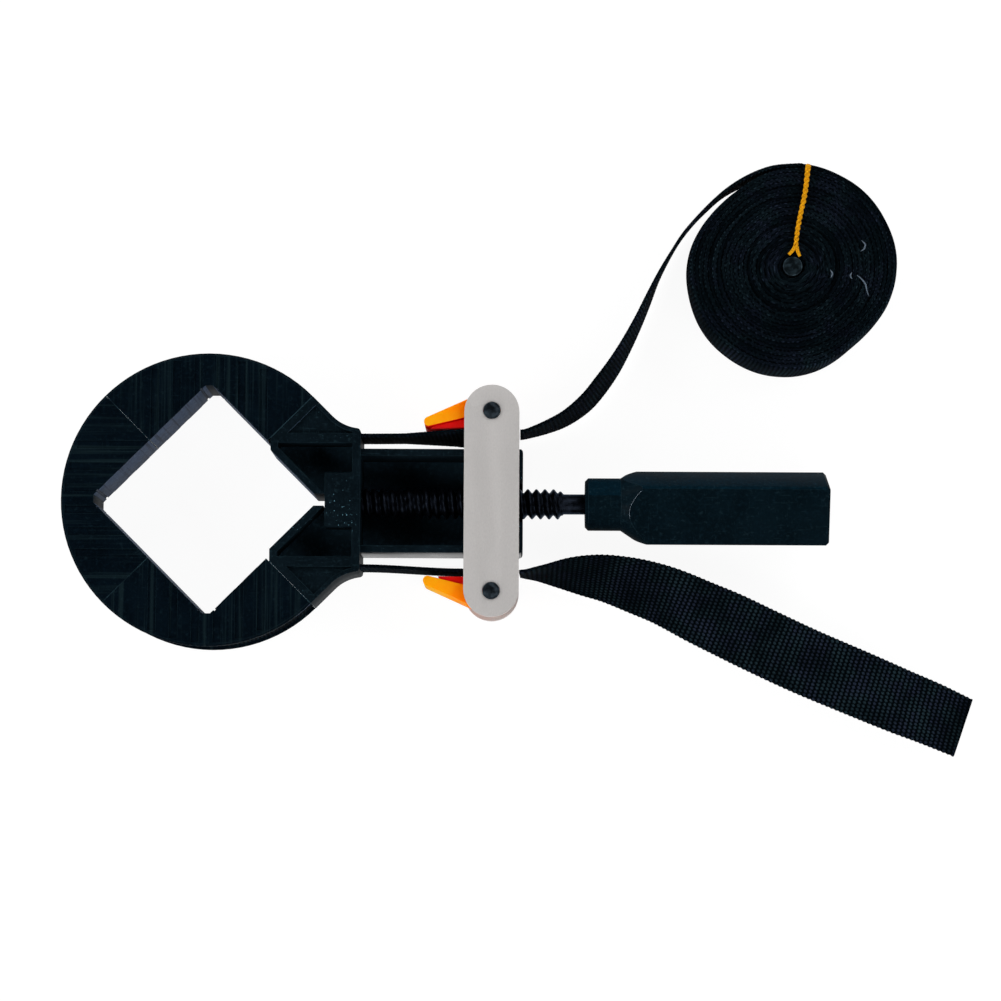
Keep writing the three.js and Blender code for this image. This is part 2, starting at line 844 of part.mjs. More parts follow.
// The least distance between the faces of neighbouring loops.
function leastCoilGap(line) {
  const spots = line.map(([x, y]) => new THREE.Vector3(x, y, 0));
  const nearest = new THREE.Vector3();
  let least = Infinity;
  for (let index = coilSteps; index < spots.length; index++) {
    const first = Math.max(index - coilSteps - 1, 0);
    for (let near = first; near <= index - coilSteps; near++) {
      const side = new THREE.Line3(spots[near], spots[near + 1]);
      side.closestPointToPoint(spots[index], true, nearest);
      least = Math.min(least, nearest.distanceTo(spots[index]));
    }
  }
  return least - strapThickness;
}

function strapCoil() {
  const line = coilLine();
  console.log("least gap between loops: " + leastCoilGap(line).toFixed(2) + " mm");
  return uprightBand(line, strapWidth, strapThickness, coilBase + strapWidth / 2);
}

// The pin that the webbing is wound on, with a head on top.
function coilCore() {
  const head = coreHeadDiameter / 2;
  const seat = coilBase + strapWidth + strapClearance;
  const profile = [
    [0, coilBase],
    [coreStemRadius, coilBase],
    [coreStemRadius, seat],
    [head, seat],
    [head, seat + coreHeadHeight - coreHeadRound],
    [head - coreHeadRound, seat + coreHeadHeight],
    [0, seat + coreHeadHeight],
  ];
  return turned(profile, ringSteps / 4).translate(coilX, coilY, 0);
}

// A round cord through points, as a tube with one ring of points at each.
function cordTube(points, diameter, sides) {
  const rings = points.map((point, index) => {
    const before = points[Math.max(index - 1, 0)];
    const after = points[Math.min(index + 1, points.length - 1)];
    const along = new THREE.Vector3().subVectors(after, before).normalize();
    const side = new THREE.Vector3(-Math.sin(rad(tieDegrees)), Math.cos(rad(tieDegrees)), 0);
    side.addScaledVector(along, -side.dot(along)).normalize();
    const other = new THREE.Vector3().crossVectors(along, side);
    const ring = [];
    for (let corner = 0; corner < sides; corner++) {
      const angle = (corner / sides) * 2 * Math.PI;
      const spot = point.clone();
      spot.addScaledVector(side, (diameter / 2) * Math.cos(angle));
      spot.addScaledVector(other, (diameter / 2) * Math.sin(angle));
      ring.push(spot);
    }
    return ring;
  });
  return loft(rings);
}

// The tie: over the coil from its core, down the outside and back under it, forked round the core's head.
function coilTie() {
  const radius = tieDiameter / 2;
  const top = coilBase + strapWidth + tieStandOff + radius;
  const outside = coilOuterRadius + tieStandOff + radius;
  const bottom = radius + tieFlatness;
  const spot = (out, height, aside) => {
    const angle = rad(tieDegrees);
    return new THREE.Vector3(
      coilX + out * Math.cos(angle) - aside * Math.sin(angle),
      coilY + out * Math.sin(angle) + aside * Math.cos(angle),
      height,
    );
  };
  const inward = coreStemRadius + tieStandOff;
  const main = [
    spot(tieForkRadius, top, 0),
    spot(outside - tieDiameter, top, 0),
    spot(outside, top - tieDiameter, 0),
    spot(outside, bottom + tieDiameter, 0),
    spot(outside - tieDiameter, bottom, 0),
    spot(inward, bottom, 0),
  ];
  const headGap = coreHeadDiameter / 2 + radius + strapClearance / 2;
  const forkOut = Math.sqrt(headGap ** 2 - tieForkSpread ** 2);
  const fork = (spread) => [spot(tieForkRadius, top, 0), spot(forkOut, top, spread)];
  return cordTube(main, tieDiameter, tieSides)
    .add(cordTube(fork(tieForkSpread), tieDiameter, tieSides))
    .add(cordTube(fork(-tieForkSpread), tieDiameter, tieSides));
}

// Materials, with the photographed colours

const blackPlastic = new THREE.MeshStandardMaterial({ color: 0x10161c, roughness: 0.45 });
const bodyPlastic = new THREE.MeshStandardMaterial({ color: 0x131a1e, roughness: 0.55 });
const gripPlastic = new THREE.MeshStandardMaterial({ color: 0x0f1418, roughness: 0.4 });
const webbing = new THREE.MeshStandardMaterial({ color: 0x10151b, roughness: 0.9 });
const brushedPlate = new THREE.MeshStandardMaterial({ color: 0xb2ada9, roughness: 0.45, metalness: 0.9 });
const darkSteel = new THREE.MeshStandardMaterial({ color: 0x1c1d20, roughness: 0.4, metalness: 0.8 });
const leverPlastic = new THREE.MeshStandardMaterial({ color: 0xff8800, roughness: 0.4 });
const tieCord = new THREE.MeshStandardMaterial({ color: 0xdcaa1e, roughness: 0.7 });

// The assembly

const clamp = new THREE.Group();

function place(name, solid, material) {
  const mesh = new THREE.Mesh(geometryOf(solid), material);
  mesh.name = name;
  clamp.add(mesh);
}

place("clamp_body", clampBody(), bodyPlastic);
place("corner_jaw_feed", cornerJaw(90), blackPlastic);
place("corner_jaw_far", cornerJaw(180), blackPlastic);
place("corner_jaw_tail", cornerJaw(270), blackPlastic);
place("screw", screw(), darkSteel);
place("handle_grip", handleGrip(), gripPlastic);
place("spindle_nut", spindleNut(), darkSteel);
place("crossbar_top", crossbarPlate(jawHeight - plateThickness), brushedPlate);
place("crossbar_bottom", crossbarPlate(0), brushedPlate);

const bothSides = [
  ["pivot_pin", pivotPin, darkSteel],
  ["strap_anvil", strapAnvil, bodyPlastic],
  ["cam_lever", camLever, leverPlastic],
  ["strap_shoulder", strapOnShoulder, webbing],
  ["strap_neck", strapOnNeck, webbing],
  ["strap_clamp", strapInCrossbar, webbing],
];
for (const [name, make, material] of bothSides) {
  place(name + "_feed", make(), material);
  place(name + "_tail", mirroredAcross(make()), material);
}

place("strap_jaw_feed", strapOnJaws(45, 135), webbing);
place("strap_jaw_far_feed", strapOnJaws(135, 180), webbing);
place("strap_jaw_far_tail", strapOnJaws(180, 225), webbing);
place("strap_jaw_tail", strapOnJaws(225, 315), webbing);
place("strap_feed", freeStrap(feedToCoil(), 3), webbing);
place("strap_tail", freeStrap(fromExit(tailRoute, -clampHalfWidth), 3), webbing);
place("strap_coil", strapCoil(), webbing);
place("coil_core", coilCore(), darkSteel);
place("coil_tie", coilTie(), tieCord);

// The origin is under the middle of the clamp itself, without its free webbing.
clamp.position.x = (ringRadius - gripEndX) / 2;

const group = new THREE.Group();
group.add(clamp);

export default group;
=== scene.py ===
"""A band clamp on a white table: jaws round a square opening, a screw with a grip, a crossbar with two cam
levers, and a band of webbing with its spare length in a coil. Metres, +Z up."""

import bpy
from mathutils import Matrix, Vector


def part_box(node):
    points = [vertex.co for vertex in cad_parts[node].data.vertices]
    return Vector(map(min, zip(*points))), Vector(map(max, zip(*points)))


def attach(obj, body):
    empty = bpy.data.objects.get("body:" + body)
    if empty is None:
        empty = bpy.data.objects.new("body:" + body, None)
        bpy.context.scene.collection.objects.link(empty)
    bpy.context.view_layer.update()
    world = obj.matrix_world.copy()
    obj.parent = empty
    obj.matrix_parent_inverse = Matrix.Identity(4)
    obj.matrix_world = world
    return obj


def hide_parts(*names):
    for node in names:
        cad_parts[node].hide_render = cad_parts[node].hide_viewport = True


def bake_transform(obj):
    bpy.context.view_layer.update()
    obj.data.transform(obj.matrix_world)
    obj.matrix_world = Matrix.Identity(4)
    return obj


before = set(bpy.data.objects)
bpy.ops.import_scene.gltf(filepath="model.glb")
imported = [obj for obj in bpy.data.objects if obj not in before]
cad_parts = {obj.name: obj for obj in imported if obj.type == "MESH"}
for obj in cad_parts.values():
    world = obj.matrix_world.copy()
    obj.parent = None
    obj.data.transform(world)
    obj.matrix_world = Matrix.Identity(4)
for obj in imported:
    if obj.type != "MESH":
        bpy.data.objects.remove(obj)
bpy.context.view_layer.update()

import math

import bmesh
import bpy
from bpy.props import FloatProperty, FloatVectorProperty, IntProperty, PointerProperty
from mathutils import Matrix, Vector

bl_info = {
    "name": "Band clamp on a table",
    "version": (1, 0, 0),
    "blender": (4, 5, 0),
    "location": "3D View > Sidebar > Clamp",
    "description": "Dresses a band clamp with webbing, plastics and metals, and lights it on a white table",
    "category": "Object",
}

# The clamp's own frame is measured from the middle of its length, and these places from the ring's centre.
RING_X = -0.0895
MID_HEIGHT = 0.015

# The jaws meet along two lines through the ring's centre, at these angles. Points that lie near them are moved
# up to them a little, so that hardly a gap is left.
RING_CENTRE = Vector((RING_X, 0, 0))
SEAMS = (math.radians(45), math.radians(135))
SEAM_NEAR = 0.00012
SEAM_MOVE = 0.00006

# How many ribs a line straight across the webbing crosses in a metre, and the distance between its rows.
RIB_SLANT = 36
ROW_PITCH = 0.00148

# The share of half the webbing's width at which its selvedge begins.
SELVEDGE = 0.955

# The steps along webbing and along thin strands, and the width of the rounded rims on pins.
WEBBING_STEP = 0.00046
STRAND_STEP = 0.0004
RIM_WIDTH = 0.0005


# Property groups


def number(name, description, default, **kind):
    return FloatProperty(name=name, description=description, default=default, **kind)


def length(name, description, default, precision=5):
    return number(name, description, default, unit="LENGTH", precision=precision)


def angle_of(name, description, degrees):
    return number(name, description, math.radians(degrees), subtype="ANGLE")


def colour_of(name, description, default):
    return FloatVectorProperty(name=name, description=description, default=default, subtype="COLOR")


class BandSizes(bpy.types.PropertyGroup):
    width: length("Width", "Width of the webbing", 0.0254)
    thickness: length("Thickness", "Thickness of the webbing", 0.0011)
    rib_pitch: length("Rib pitch", "Distance from weft rib to weft rib", 0.0016)
    rib_relief: length("Rib relief", "Height of a weft rib", 0.00011, 6)
    ring_radius: length("Ring radius", "Radius of the band's middle round the jaws", 0.0536)
    shoulder_radius: length("Shoulder radius", "Radius of the band inside a shoulder", 0.01825)


class CoilSizes(bpy.types.PropertyGroup):
    centre: FloatVectorProperty(
        name="Centre", description="Middle of the coil", default=(0.13095, 0.0898), size=2, unit="LENGTH"
    )
    radius: length("Radius", "Outer radius", 0.0402)
    inner_radius: length("Inner radius", "Radius of the innermost loop's middle", 0.00435)
    pitch: length("Pitch", "Distance from loop to loop", 0.00167)
    dent: number("Dent", "Share of the radius that the coil is pressed in by on two sides", 0.072)
    dent_angle: angle_of("Dent angle", "Where the coil is pressed in", 132)
    base: length("Base", "Height of the coil's lower edge", 0.0018)
    entry_angle: angle_of("Entry", "Where the free run joins the coil", 84)
    tie_angle: angle_of("Tie", "Where the tie crosses the coil", 81)
    tie_diameter: length("Tie diameter", "Diameter of the tie's cord", 0.0020)
    core_radius: length("Core radius", "Radius of the core's head", 0.0037)


class ScrewSizes(bpy.types.PropertyGroup):
    start: length("Start", "X of the screw's tip", -0.0422)
    thread_end: length("Thread end", "X of the thread's end", 0.0442)
    shank_end: length("Shank end", "X of the shank's end", 0.0527)
    radius: length("Radius", "Crest radius", 0.00575)
    root_radius: length("Root radius", "Radius at the thread's root", 0.0043)
    shank_radius: length("Shank radius", "Radius of the shank", 0.00385)
    pitch: length("Pitch", "Thread pitch", 0.00325)


class Finishes(bpy.types.PropertyGroup):
    webbing: colour_of("Webbing", "Colour between the yarns", (0.0005, 0.0013, 0.0020))
    # Painted highlight colour for the webbing's rising yarn.
    yarn_highlight: colour_of("Yarn highlight", "Painted highlight on the yarn where it rises", (0.014, 0.027, 0.035))
    jaw: colour_of("Jaw", "Colour of the jaws' plastic", (0.0012, 0.0035, 0.0062))
    body: colour_of("Body", "Colour of the body's plastic", (0.0026, 0.0058, 0.0084))
    grip: colour_of("Grip", "Colour of the grip's plastic", (0.0018, 0.0056, 0.0086))
    plate: colour_of("Plate", "Colour of the brushed plates", (0.57, 0.545, 0.53))
    steel: colour_of("Steel", "Colour of the blackened steel", (0.004, 0.0052, 0.008))
    lever: colour_of("Lever", "Colour of the levers' broad faces", (1.0, 0.26, 0.001))
    # Painted shade colour for the levers' faces by the neck.
    lever_shade: colour_of("Lever shade", "Painted shade on the levers' faces by the neck", (1.0, 0.010, 0.004))
    # This colour serves both real wear marks and the painted highlights on rounded edges.
    rubbed: colour_of("Rubbed", "Colour of rubbed dark plastic and of painted edge highlights", (0.019, 0.043, 0.055))
    # Painted reflection of the white table, on upright walls round the opening and in the recesses.
    wall_reflection: colour_of("Wall reflection", "Painted reflection of the white table on upright walls", (0.041, 0.060, 0.100))
    tie: colour_of("Tie", "Colour of the tie's cord", (0.85, 0.37, 0.002))


class StudioSettings(bpy.types.PropertyGroup):
    sides: IntProperty(
        name="Soft lights", description="Number of soft lights round the table", default=4, min=1
    )
    light_power: number("Light power", "Power of each soft light", 6.5, unit="POWER")
    glint_power: number("Glint power", "Power of the small lamp that gives the glints", 1.2, unit="POWER")
    light_distance: length("Light distance", "Distance of the soft lights", 1.3)
    light_elevation: angle_of("Light height", "Angle of the soft lights above the table", 34)
    floor_size: length("Floor", "Side of the floor", 8.0)
    camera_height: length("Camera height", "Height of the camera above the table", 1.20487)


# Meshes


def linked(name, data):
    """A new object in the scene that holds a mesh, a lamp or a camera."""
    thing = bpy.data.objects.new(name, data)
    bpy.context.scene.collection.objects.link(thing)
    return thing


def new_piece(name, vertices, faces, smooth=True):
    mesh = bpy.data.meshes.new(name)
    mesh.from_pydata([tuple(vertex) for vertex in vertices], [], faces)
    mesh.validate()
    mesh.update()
    if smooth:
        mesh.shade_smooth()
    return linked(name, mesh)


def refined_copy(name, node, bevel=0.00025, sharp=28, segments=2):
    """A copy of a CAD node with its flat faces joined up again and its sharp edges rounded and marked."""
    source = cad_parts[node]
    work = bmesh.new()
    work.from_mesh(source.data)
    work.transform(source.matrix_world)
    for layer in list(work.loops.layers.uv):
        work.loops.layers.uv.remove(layer)
    bmesh.ops.remove_doubles(work, verts=work.verts, dist=2e-6)
    bmesh.ops.dissolve_limit(work, angle_limit=math.radians(0.8), verts=work.verts, edges=work.edges)
    work.normal_update()
    edges = [edge for edge in work.edges if len(edge.link_faces) == 2]
    sharp_edges = [edge for edge in edges if edge.calc_face_angle(0) > math.radians(sharp)]
    for face in work.faces:
        face.material_index = 0
    bmesh.ops.bevel(
        work, geom=sharp_edges, offset=bevel, segments=segments, profile=0.6, affect="EDGES",
        clamp_overlap=True, material=1,
    )
    # The mark sets how strongly the shaders paint a highlight on the faces of the rounded edges.
    rounded = work.faces.layers.float.new("rounded")
    for face in work.faces:
        face[rounded] = face.material_index
        face.material_index = 0
    mesh = bpy.data.meshes.new(name)
    work.to_mesh(mesh)
    work.free()
    mesh.shade_smooth()
    mesh.set_sharp_from_angle(angle=math.radians(32))
    return linked(name, mesh)


def ring_quads(rings, count):
    """The quads between rings of as many points each."""
    quads = []
    for ring in range(rings - 1):
        for corner in range(count):
            a = ring * count + corner
            b = ring * count + (corner + 1) % count
            quads.append((a, b, b + count, a + count))
    return quads


def skin(rings, count):
    """The faces of a rod with rings of as many points each: its quads and its two ends."""
    return ring_quads(rings, count) + [
        tuple(reversed(range(count))),
        tuple(range((rings - 1) * count, rings * count)),
    ]


def heading(points, index):
    """The direction of a row of points at one of them."""
    return (points[min(index + 1, len(points) - 1)] - points[max(index - 1, 0)]).normalized()


def tube(name, path, radius_at, sides):
    """A round tube along points, with flat ends."""
    vertices = []
    side = None
    for index, point in enumerate(path):
        along = heading(path, index)
        if side is None:
            side = along.orthogonal().normalized()
        side = (side - along * side.dot(along)).normalized()
        other = along.cross(side)
        radius = radius_at(index / (len(path) - 1))
        for corner in range(sides):
            angle = 2 * math.pi * corner / sides
            vertices.append(point + (side * math.cos(angle) + other * math.sin(angle)) * radius)
    return new_piece(name, vertices, skin(len(path), sides))


def turned(name, profile, steps=64):
    """A profile of (radius, height) points, from the axis to the axis, turned about Z."""
    vertices = []
    inner = profile[1:-1]
    for radius, height in inner:
        for step in range(steps):
            angle = 2 * math.pi * step / steps
            vertices.append((radius * math.cos(angle), radius * math.sin(angle), height))
    faces = ring_quads(len(inner), steps)
    low, high = len(vertices), len(vertices) + 1
    vertices += [(0, 0, profile[0][1]), (0, 0, profile[-1][1])]
    last = (len(inner) - 1) * steps
    for step in range(steps):
        after = (step + 1) % steps
        faces += [(low, after, step), (high, last + step, last + after)]
    piece = new_piece(name, vertices, faces)
    piece.data.set_sharp_from_angle(angle=math.radians(35))
    return piece


def rounded_rim(radius, top, rise):
    """The profile of a pin's rounded rim, up to and over its edge."""
    inner, lower = radius - RIM_WIDTH, top - RIM_WIDTH
    angles = [math.radians(90 * step / 4) for step in range(5)]
    return [(inner + RIM_WIDTH * math.cos(angle), lower + rise * math.sin(angle)) for angle in angles]


def curve_value(a, b, c, d, t):
    """A value at a share t of the way from b to c on a smooth curve through a, b, c and d."""
    return 0.5 * (2 * b + (c - a) * t + (2 * a - 5 * b + 4 * c - d) * t * t + (3 * b - a - 3 * c + d) * t**3)


def smooth_route(points, step):
    """A smooth curve through points, in even steps. Each point may hold more values after X, Y and Z."""
    parts = 24
    dense = []
    count = len(points)
    for index in range(count - 1):
        p0 = points[max(index - 1, 0)]
        p1, p2 = points[index], points[index + 1]
        p3 = points[min(index + 2, count - 1)]
        for part in range(parts):
            t = part / parts
            dense.append([curve_value(*values, t) for values in zip(p0, p1, p2, p3)])
    dense.append(list(points[-1]))
    lengths = [0.0]
    for before, after in zip(dense, dense[1:]):
        lengths.append(lengths[-1] + math.dist(before[:3], after[:3]))
    steps = max(2, round(lengths[-1] / step))
    route, at = [], 0
    for number in range(steps + 1):
        target = lengths[-1] * number / steps
        while at < len(lengths) - 2 and lengths[at + 1] < target:
            at += 1
        share = (target - lengths[at]) / max(lengths[at + 1] - lengths[at], 1e-12)
        route.append([a + (b - a) * share for a, b in zip(dense[at], dense[at + 1])])
    return route


def strand_path(points):
    return [Vector(point[:3]) for point in smooth_route(points, STRAND_STEP)]


def webbing(name, route, across_points, fuller=0.0, bow=0.0, stretch=1.0):
    """A band of webbing along a route of [x, y, z, turn from upright], with ribs on its faces and selvedges.

    It may be fuller than its stated thickness, bowed outwards along its middle, with wider spaced ribs."""
    sizes = bpy.context.scene.band_sizes
    pitch = sizes.rib_pitch * stretch
    slant = 2 * math.pi * RIB_SLANT * sizes.width / 2
    half_width = sizes.width / 2
    half_thickness = (sizes.thickness + fuller) / 2
    shares = [-1 + 2 * index / (across_points - 1) for index in range(across_points)]
    section = [(share * SELVEDGE, 1.0) for share in shares] + [(1.0, 0.45), (1.0, -0.45)]
    section += [(-share * SELVEDGE, -1.0) for share in shares] + [(-1.0, -0.45), (-1.0, 0.45)]
    vertices, places = [], []
    distance = 0.0
    points = [Vector(spot[:3]) for spot in route]
    for index, point in enumerate(points):
        if index:
            distance += (point - points[index - 1]).length
        along = heading(points, index)
        left = Vector((0, 0, 1)).cross(along).normalized()
        across = along.cross(left)
        across.rotate(Matrix.Rotation(-route[index][3], 3, along))
        out = across.cross(along).normalized()
        phase = 2 * math.pi * distance / pitch
        for wide, thick in section:
            rib = sizes.rib_relief * math.cos(phase + wide * slant)
            edge = 1 + 0.014 * math.cos(phase + wide * slant) if abs(wide) > 0.9 else 1
            aside = thick * half_thickness + math.copysign(rib, thick) + bow * (0.5 - wide * wide)
            vertices.append(point + across * (wide * half_width * edge) + out * aside)
            places.append((wide * half_width + (0.1 if thick > 0 else 0), distance / pitch))
    rings, count = len(route), len(section)
    faces = [(a, d, c, b) for a, b, c, d in ring_quads(rings, count)]
    faces += [tuple(range(count)), tuple(reversed(range((rings - 1) * count, rings * count)))]
    piece = new_piece(name, vertices, faces)
    layer = piece.data.uv_layers.new(name="weave")
    for loop in piece.data.loops:
        layer.data[loop.index].uv = places[loop.vertex_index]
    piece.data.set_sharp_from_angle(angle=math.radians(75))
    return piece


def join_pieces(name, pieces):
    """Several meshes as one piece."""
    vertices, faces = [], []
    for piece in pieces:
        start = len(vertices)
        vertices += [piece.matrix_world @ vertex.co for vertex in piece.data.vertices]
        faces += [tuple(start + index for index in polygon.vertices) for polygon in piece.data.polygons]
        mesh = piece.data
        bpy.data.objects.remove(piece)
        bpy.data.meshes.remove(mesh)
    return new_piece(name, vertices, faces)


# Shader nodes


def fill(node, inputs):
    """Set a node's inputs to values, or link them to other nodes' outputs."""
    for key, value in inputs.items():
        if isinstance(value, bpy.types.NodeSocket):
            node.id_data.links.new(value, node.inputs[key])
        else:
            node.inputs[key].default_value = value


def add(tree, kind, inputs=None, **settings):
    """A new shader node with its settings and inputs."""
    node = tree.nodes.new(kind)
    for key, value in settings.items():
        setattr(node, key, value)
    fill(node, inputs or {})
    return node


# The next nodes go into the tree of their first input, which is another node's output.


def math_node(operation, a, b=0.0, clamp=False):
    return add(a.id_data, "ShaderNodeMath", {0: a, 1: b}, operation=operation, use_clamp=clamp).outputs[0]


def times(a, b, clamp=False):
    return math_node("MULTIPLY", a, b, clamp)


def plus(a, b):
    return math_node("ADD", a, b)


def part_of(vector, axis):
    return add(vector.id_data, "ShaderNodeSeparateXYZ", {0: vector}).outputs[axis]


def ramp(value, low, high, to_low=0.0, to_high=1.0):
    inputs = {"Value": value, 1: low, 2: high, 3: to_low, 4: to_high}
    return add(value.id_data, "ShaderNodeMapRange", inputs, interpolation_type="SMOOTHSTEP").outputs[0]


def mixed(factor, a, b):
    node = add(factor.id_data, "ShaderNodeMix", {"Factor": factor}, data_type="RGBA")
    for key, value in ((6, a), (7, b)):
        fill(node, {key: value if isinstance(value, bpy.types.NodeSocket) else (*value[:3], 1)})
    return node.outputs[2]


def noise(vector, scale, detail=3.0, roughness=0.55):
    inputs = {"Vector": vector, "Scale": scale, "Detail": detail, "Roughness": roughness}
    return add(vector.id_data, "ShaderNodeTexNoise", inputs).outputs[0]


def place(tree, scale=(1, 1, 1), rotation=(0, 0, 0)):
    """Object coordinates in metres, stretched and turned."""
    spot = add(tree, "ShaderNodeTexCoord").outputs["Object"]
    return add(tree, "ShaderNodeMapping", {"Vector": spot, "Scale": scale, "Rotation": rotation}).outputs[0]


def rounded_edge_highlight(tree):
    """How strongly a face is marked as part of a rounded edge, which is how much painted highlight it gets."""
    return add(tree, "ShaderNodeAttribute", attribute_name="rounded").outputs["Fac"]


def scratches(tree, stretch, angle, threshold):
    """Thin marks: a stretched noise of which only the highest part is kept."""
    field = noise(place(tree, stretch, (0, 0, angle)), 1.0, 2.0)
    return ramp(field, threshold, threshold + 0.05)


def blank_tree(owner):
    owner.use_nodes = True
    owner.node_tree.nodes.clear()
    return owner.node_tree


def start_material(name):
    material = bpy.data.materials.new(name)
    tree = blank_tree(material)
    shader = add(tree, "ShaderNodeBsdfPrincipled")
    add(tree, "ShaderNodeOutputMaterial", {0: shader.outputs[0]})
    return material, tree, shader


def fill_shader(shader, inputs, height, strength, distance):
    """Fill in a shader's inputs and give it a bump."""
    relief = {"Height": height, "Strength": strength, "Distance": distance}
    bump = add(shader.id_data, "ShaderNodeBump", relief)
    fill(shader, {**inputs, "Normal": bump.outputs[0]})


def lighter(colour, amount):
    return tuple(channel + (1 - channel) * amount for channel in colour)


def scaled(colour, factor):
    return tuple(min(1.0, channel * factor) for channel in colour)


# Materials


def moulded_plastic(
    name, colour, rubbed, roughness=0.45, gloss=0.006, wear=0.3, edge=0.4, stripe=None, dust=0.0
):
    """Moulded plastic with grain, clouds, flow streaks, rubbed spots, scratches, dust and a painted highlight
    on rounded edges.
    """
    material, tree, shader = start_material(name)
    base = place(tree)
    clouds = noise(base, 70.0)
    tone = mixed(ramp(clouds, 0.3, 0.7), scaled(colour, 0.78), scaled(colour, 1.2))
    tone = mixed(ramp(noise(base, 700.0, 3.0, 0.7), 0.45, 0.75), tone, scaled(colour, 1.7))
    if stripe:
        lines = ramp(noise(place(tree, stripe), 1.0, 3.0, 0.6), 0.5, 0.68)
        tone = mixed(lines, tone, scaled(rubbed, 0.28))
    one_way = scratches(tree, (160, 2100, 300), 0.35, 0.66)
    other_way = scratches(tree, (2300, 190, 300), -0.5, 0.67)
    marks = math_node("MAXIMUM", one_way, other_way)
    spots = ramp(noise(base, 620.0, 4.0), 0.58, 0.72)
    wear_and_reflection = times(math_node("MAXIMUM", marks, spots), wear)
    tone = mixed(wear_and_reflection, tone, rubbed)
    if dust:
        grit = times(ramp(noise(base, 1300.0, 1.0), 0.7, 0.76), dust)
        gathered = ramp(noise(base, 120.0, 1.0), 0.5, 0.6)
        aside = math_node("ABSOLUTE", part_of(base, 1))
        gathered = times(gathered, ramp(aside, 0.0105, 0.013, 1.3, 0.15))
        tone = mixed(times(grit, gathered), tone, scaled(rubbed, 8))
    # Painted highlight: the faces of rounded edges take the rubbed colour in patches, for the light that such
    # edges catch.
    patchy_highlight = ramp(noise(base, 160.0), 0.3, 0.65, 0.2 * edge, edge)
    edge_highlight = times(rounded_edge_highlight(tree), patchy_highlight, clamp=True)
    inputs = {
        "Base Color": mixed(edge_highlight, tone, rubbed),
        "Roughness": plus(times(clouds, 0.2), roughness - 0.08),
        "Specular IOR Level": gloss,
    }
    height = math_node("SUBTRACT", noise(base, 2200.0, 2.0), times(wear_and_reflection, 0.8))
    fill_shader(shader, inputs, height, 0.25, 0.00008)
    return material


def woven_webbing(name, colour, yarn_highlight, coil=None):
    """Plain woven webbing: a light bead where each yarn rises, painted as the highlight that it catches, in
    columns along the ribs.

    In a coil, painted shade darkens some of its loops, for the shade between them."""
    material, tree, shader = start_material(name)
    uv = add(tree, "ShaderNodeUVMap", uv_map="weave").outputs[0]
    across, along = part_of(uv, 0), part_of(uv, 1)
    base = place(tree)
    wander = times(math_node("SUBTRACT", noise(base, 260.0, 2.0), 0.5), 2.2)
    turn = 2 * math.pi
    ribs = plus(times(along, turn), times(across, turn * RIB_SLANT))
    rows = plus(times(across, turn / ROW_PITCH), times(along, -0.425 * turn))
    rows = plus(rows, wander)
    ribs = plus(ribs, times(wander, 0.6))
    both = math_node("COSINE", plus(ribs, rows))
    weave = plus(math_node("COSINE", ribs), times(math_node("COSINE", rows), 0.55))
    weave = plus(weave, times(both, 0.7))
    beads = ramp(weave, -1.0, 1.9)
    fibre = noise(base, 2300.0, 3.0, 0.7)
    patches = noise(base, 90.0, 3.0)
    light = times(beads, ramp(patches, 0.3, 0.75, 0.4, 1.3))
    light = times(light, ramp(fibre, 0.3, 0.7, 0.5, 1.3))
    lengthwise = add(tree, "ShaderNodeMapping", {"Vector": uv, "Scale": (0, 0.022, 0)}).outputs[0]
    light = times(light, ramp(noise(lengthwise, 1.0, 2.0), 0.35, 0.6, 0.3, 1.4))
    lint = times(ramp(fibre, 0.62, 0.8), ramp(patches, 0.45, 0.7, 0.1, 0.7))
    violet = (1.15 * yarn_highlight[0], 0.82 * yarn_highlight[1], 1.12 * yarn_highlight[2])
    yarn = mixed(ramp(noise(base, 130.0, 2.0), 0.42, 0.62), yarn_highlight, violet)
    # Painted highlight on the beads where the yarn rises, mixed with pale lint, in the yarn highlight colour.
    tone = mixed(math_node("MAXIMUM", light, lint, clamp=True), colour, yarn)
    if coil:
        middle = (-coil.centre[0], -coil.centre[1], 0)
        moved = add(tree, "ShaderNodeMapping", {"Vector": base, "Location": middle, "Scale": (1, 1, 0)})
        away = add(tree, "ShaderNodeVectorMath", {0: moved.outputs[0]}, operation="LENGTH").outputs["Value"]
        around = add(tree, "ShaderNodeCombineXYZ", {0: away}).outputs[0]
        # Painted shade: dark rings about the coil's centre stand for the shade between its loops.
        dark = ramp(noise(around, 620.0, 2.0, 0.6), 0.38, 0.52, 0.65, 0.0)
        tone = mixed(dark, tone, scaled(colour, 0.3))
    height = plus(beads, times(fibre, 0.4))
    inputs = {"Base Color": tone, "Roughness": 0.9, "Specular IOR Level": 0.005}
    fill_shader(shader, inputs, height, 0.8, 0.00025)
    return material


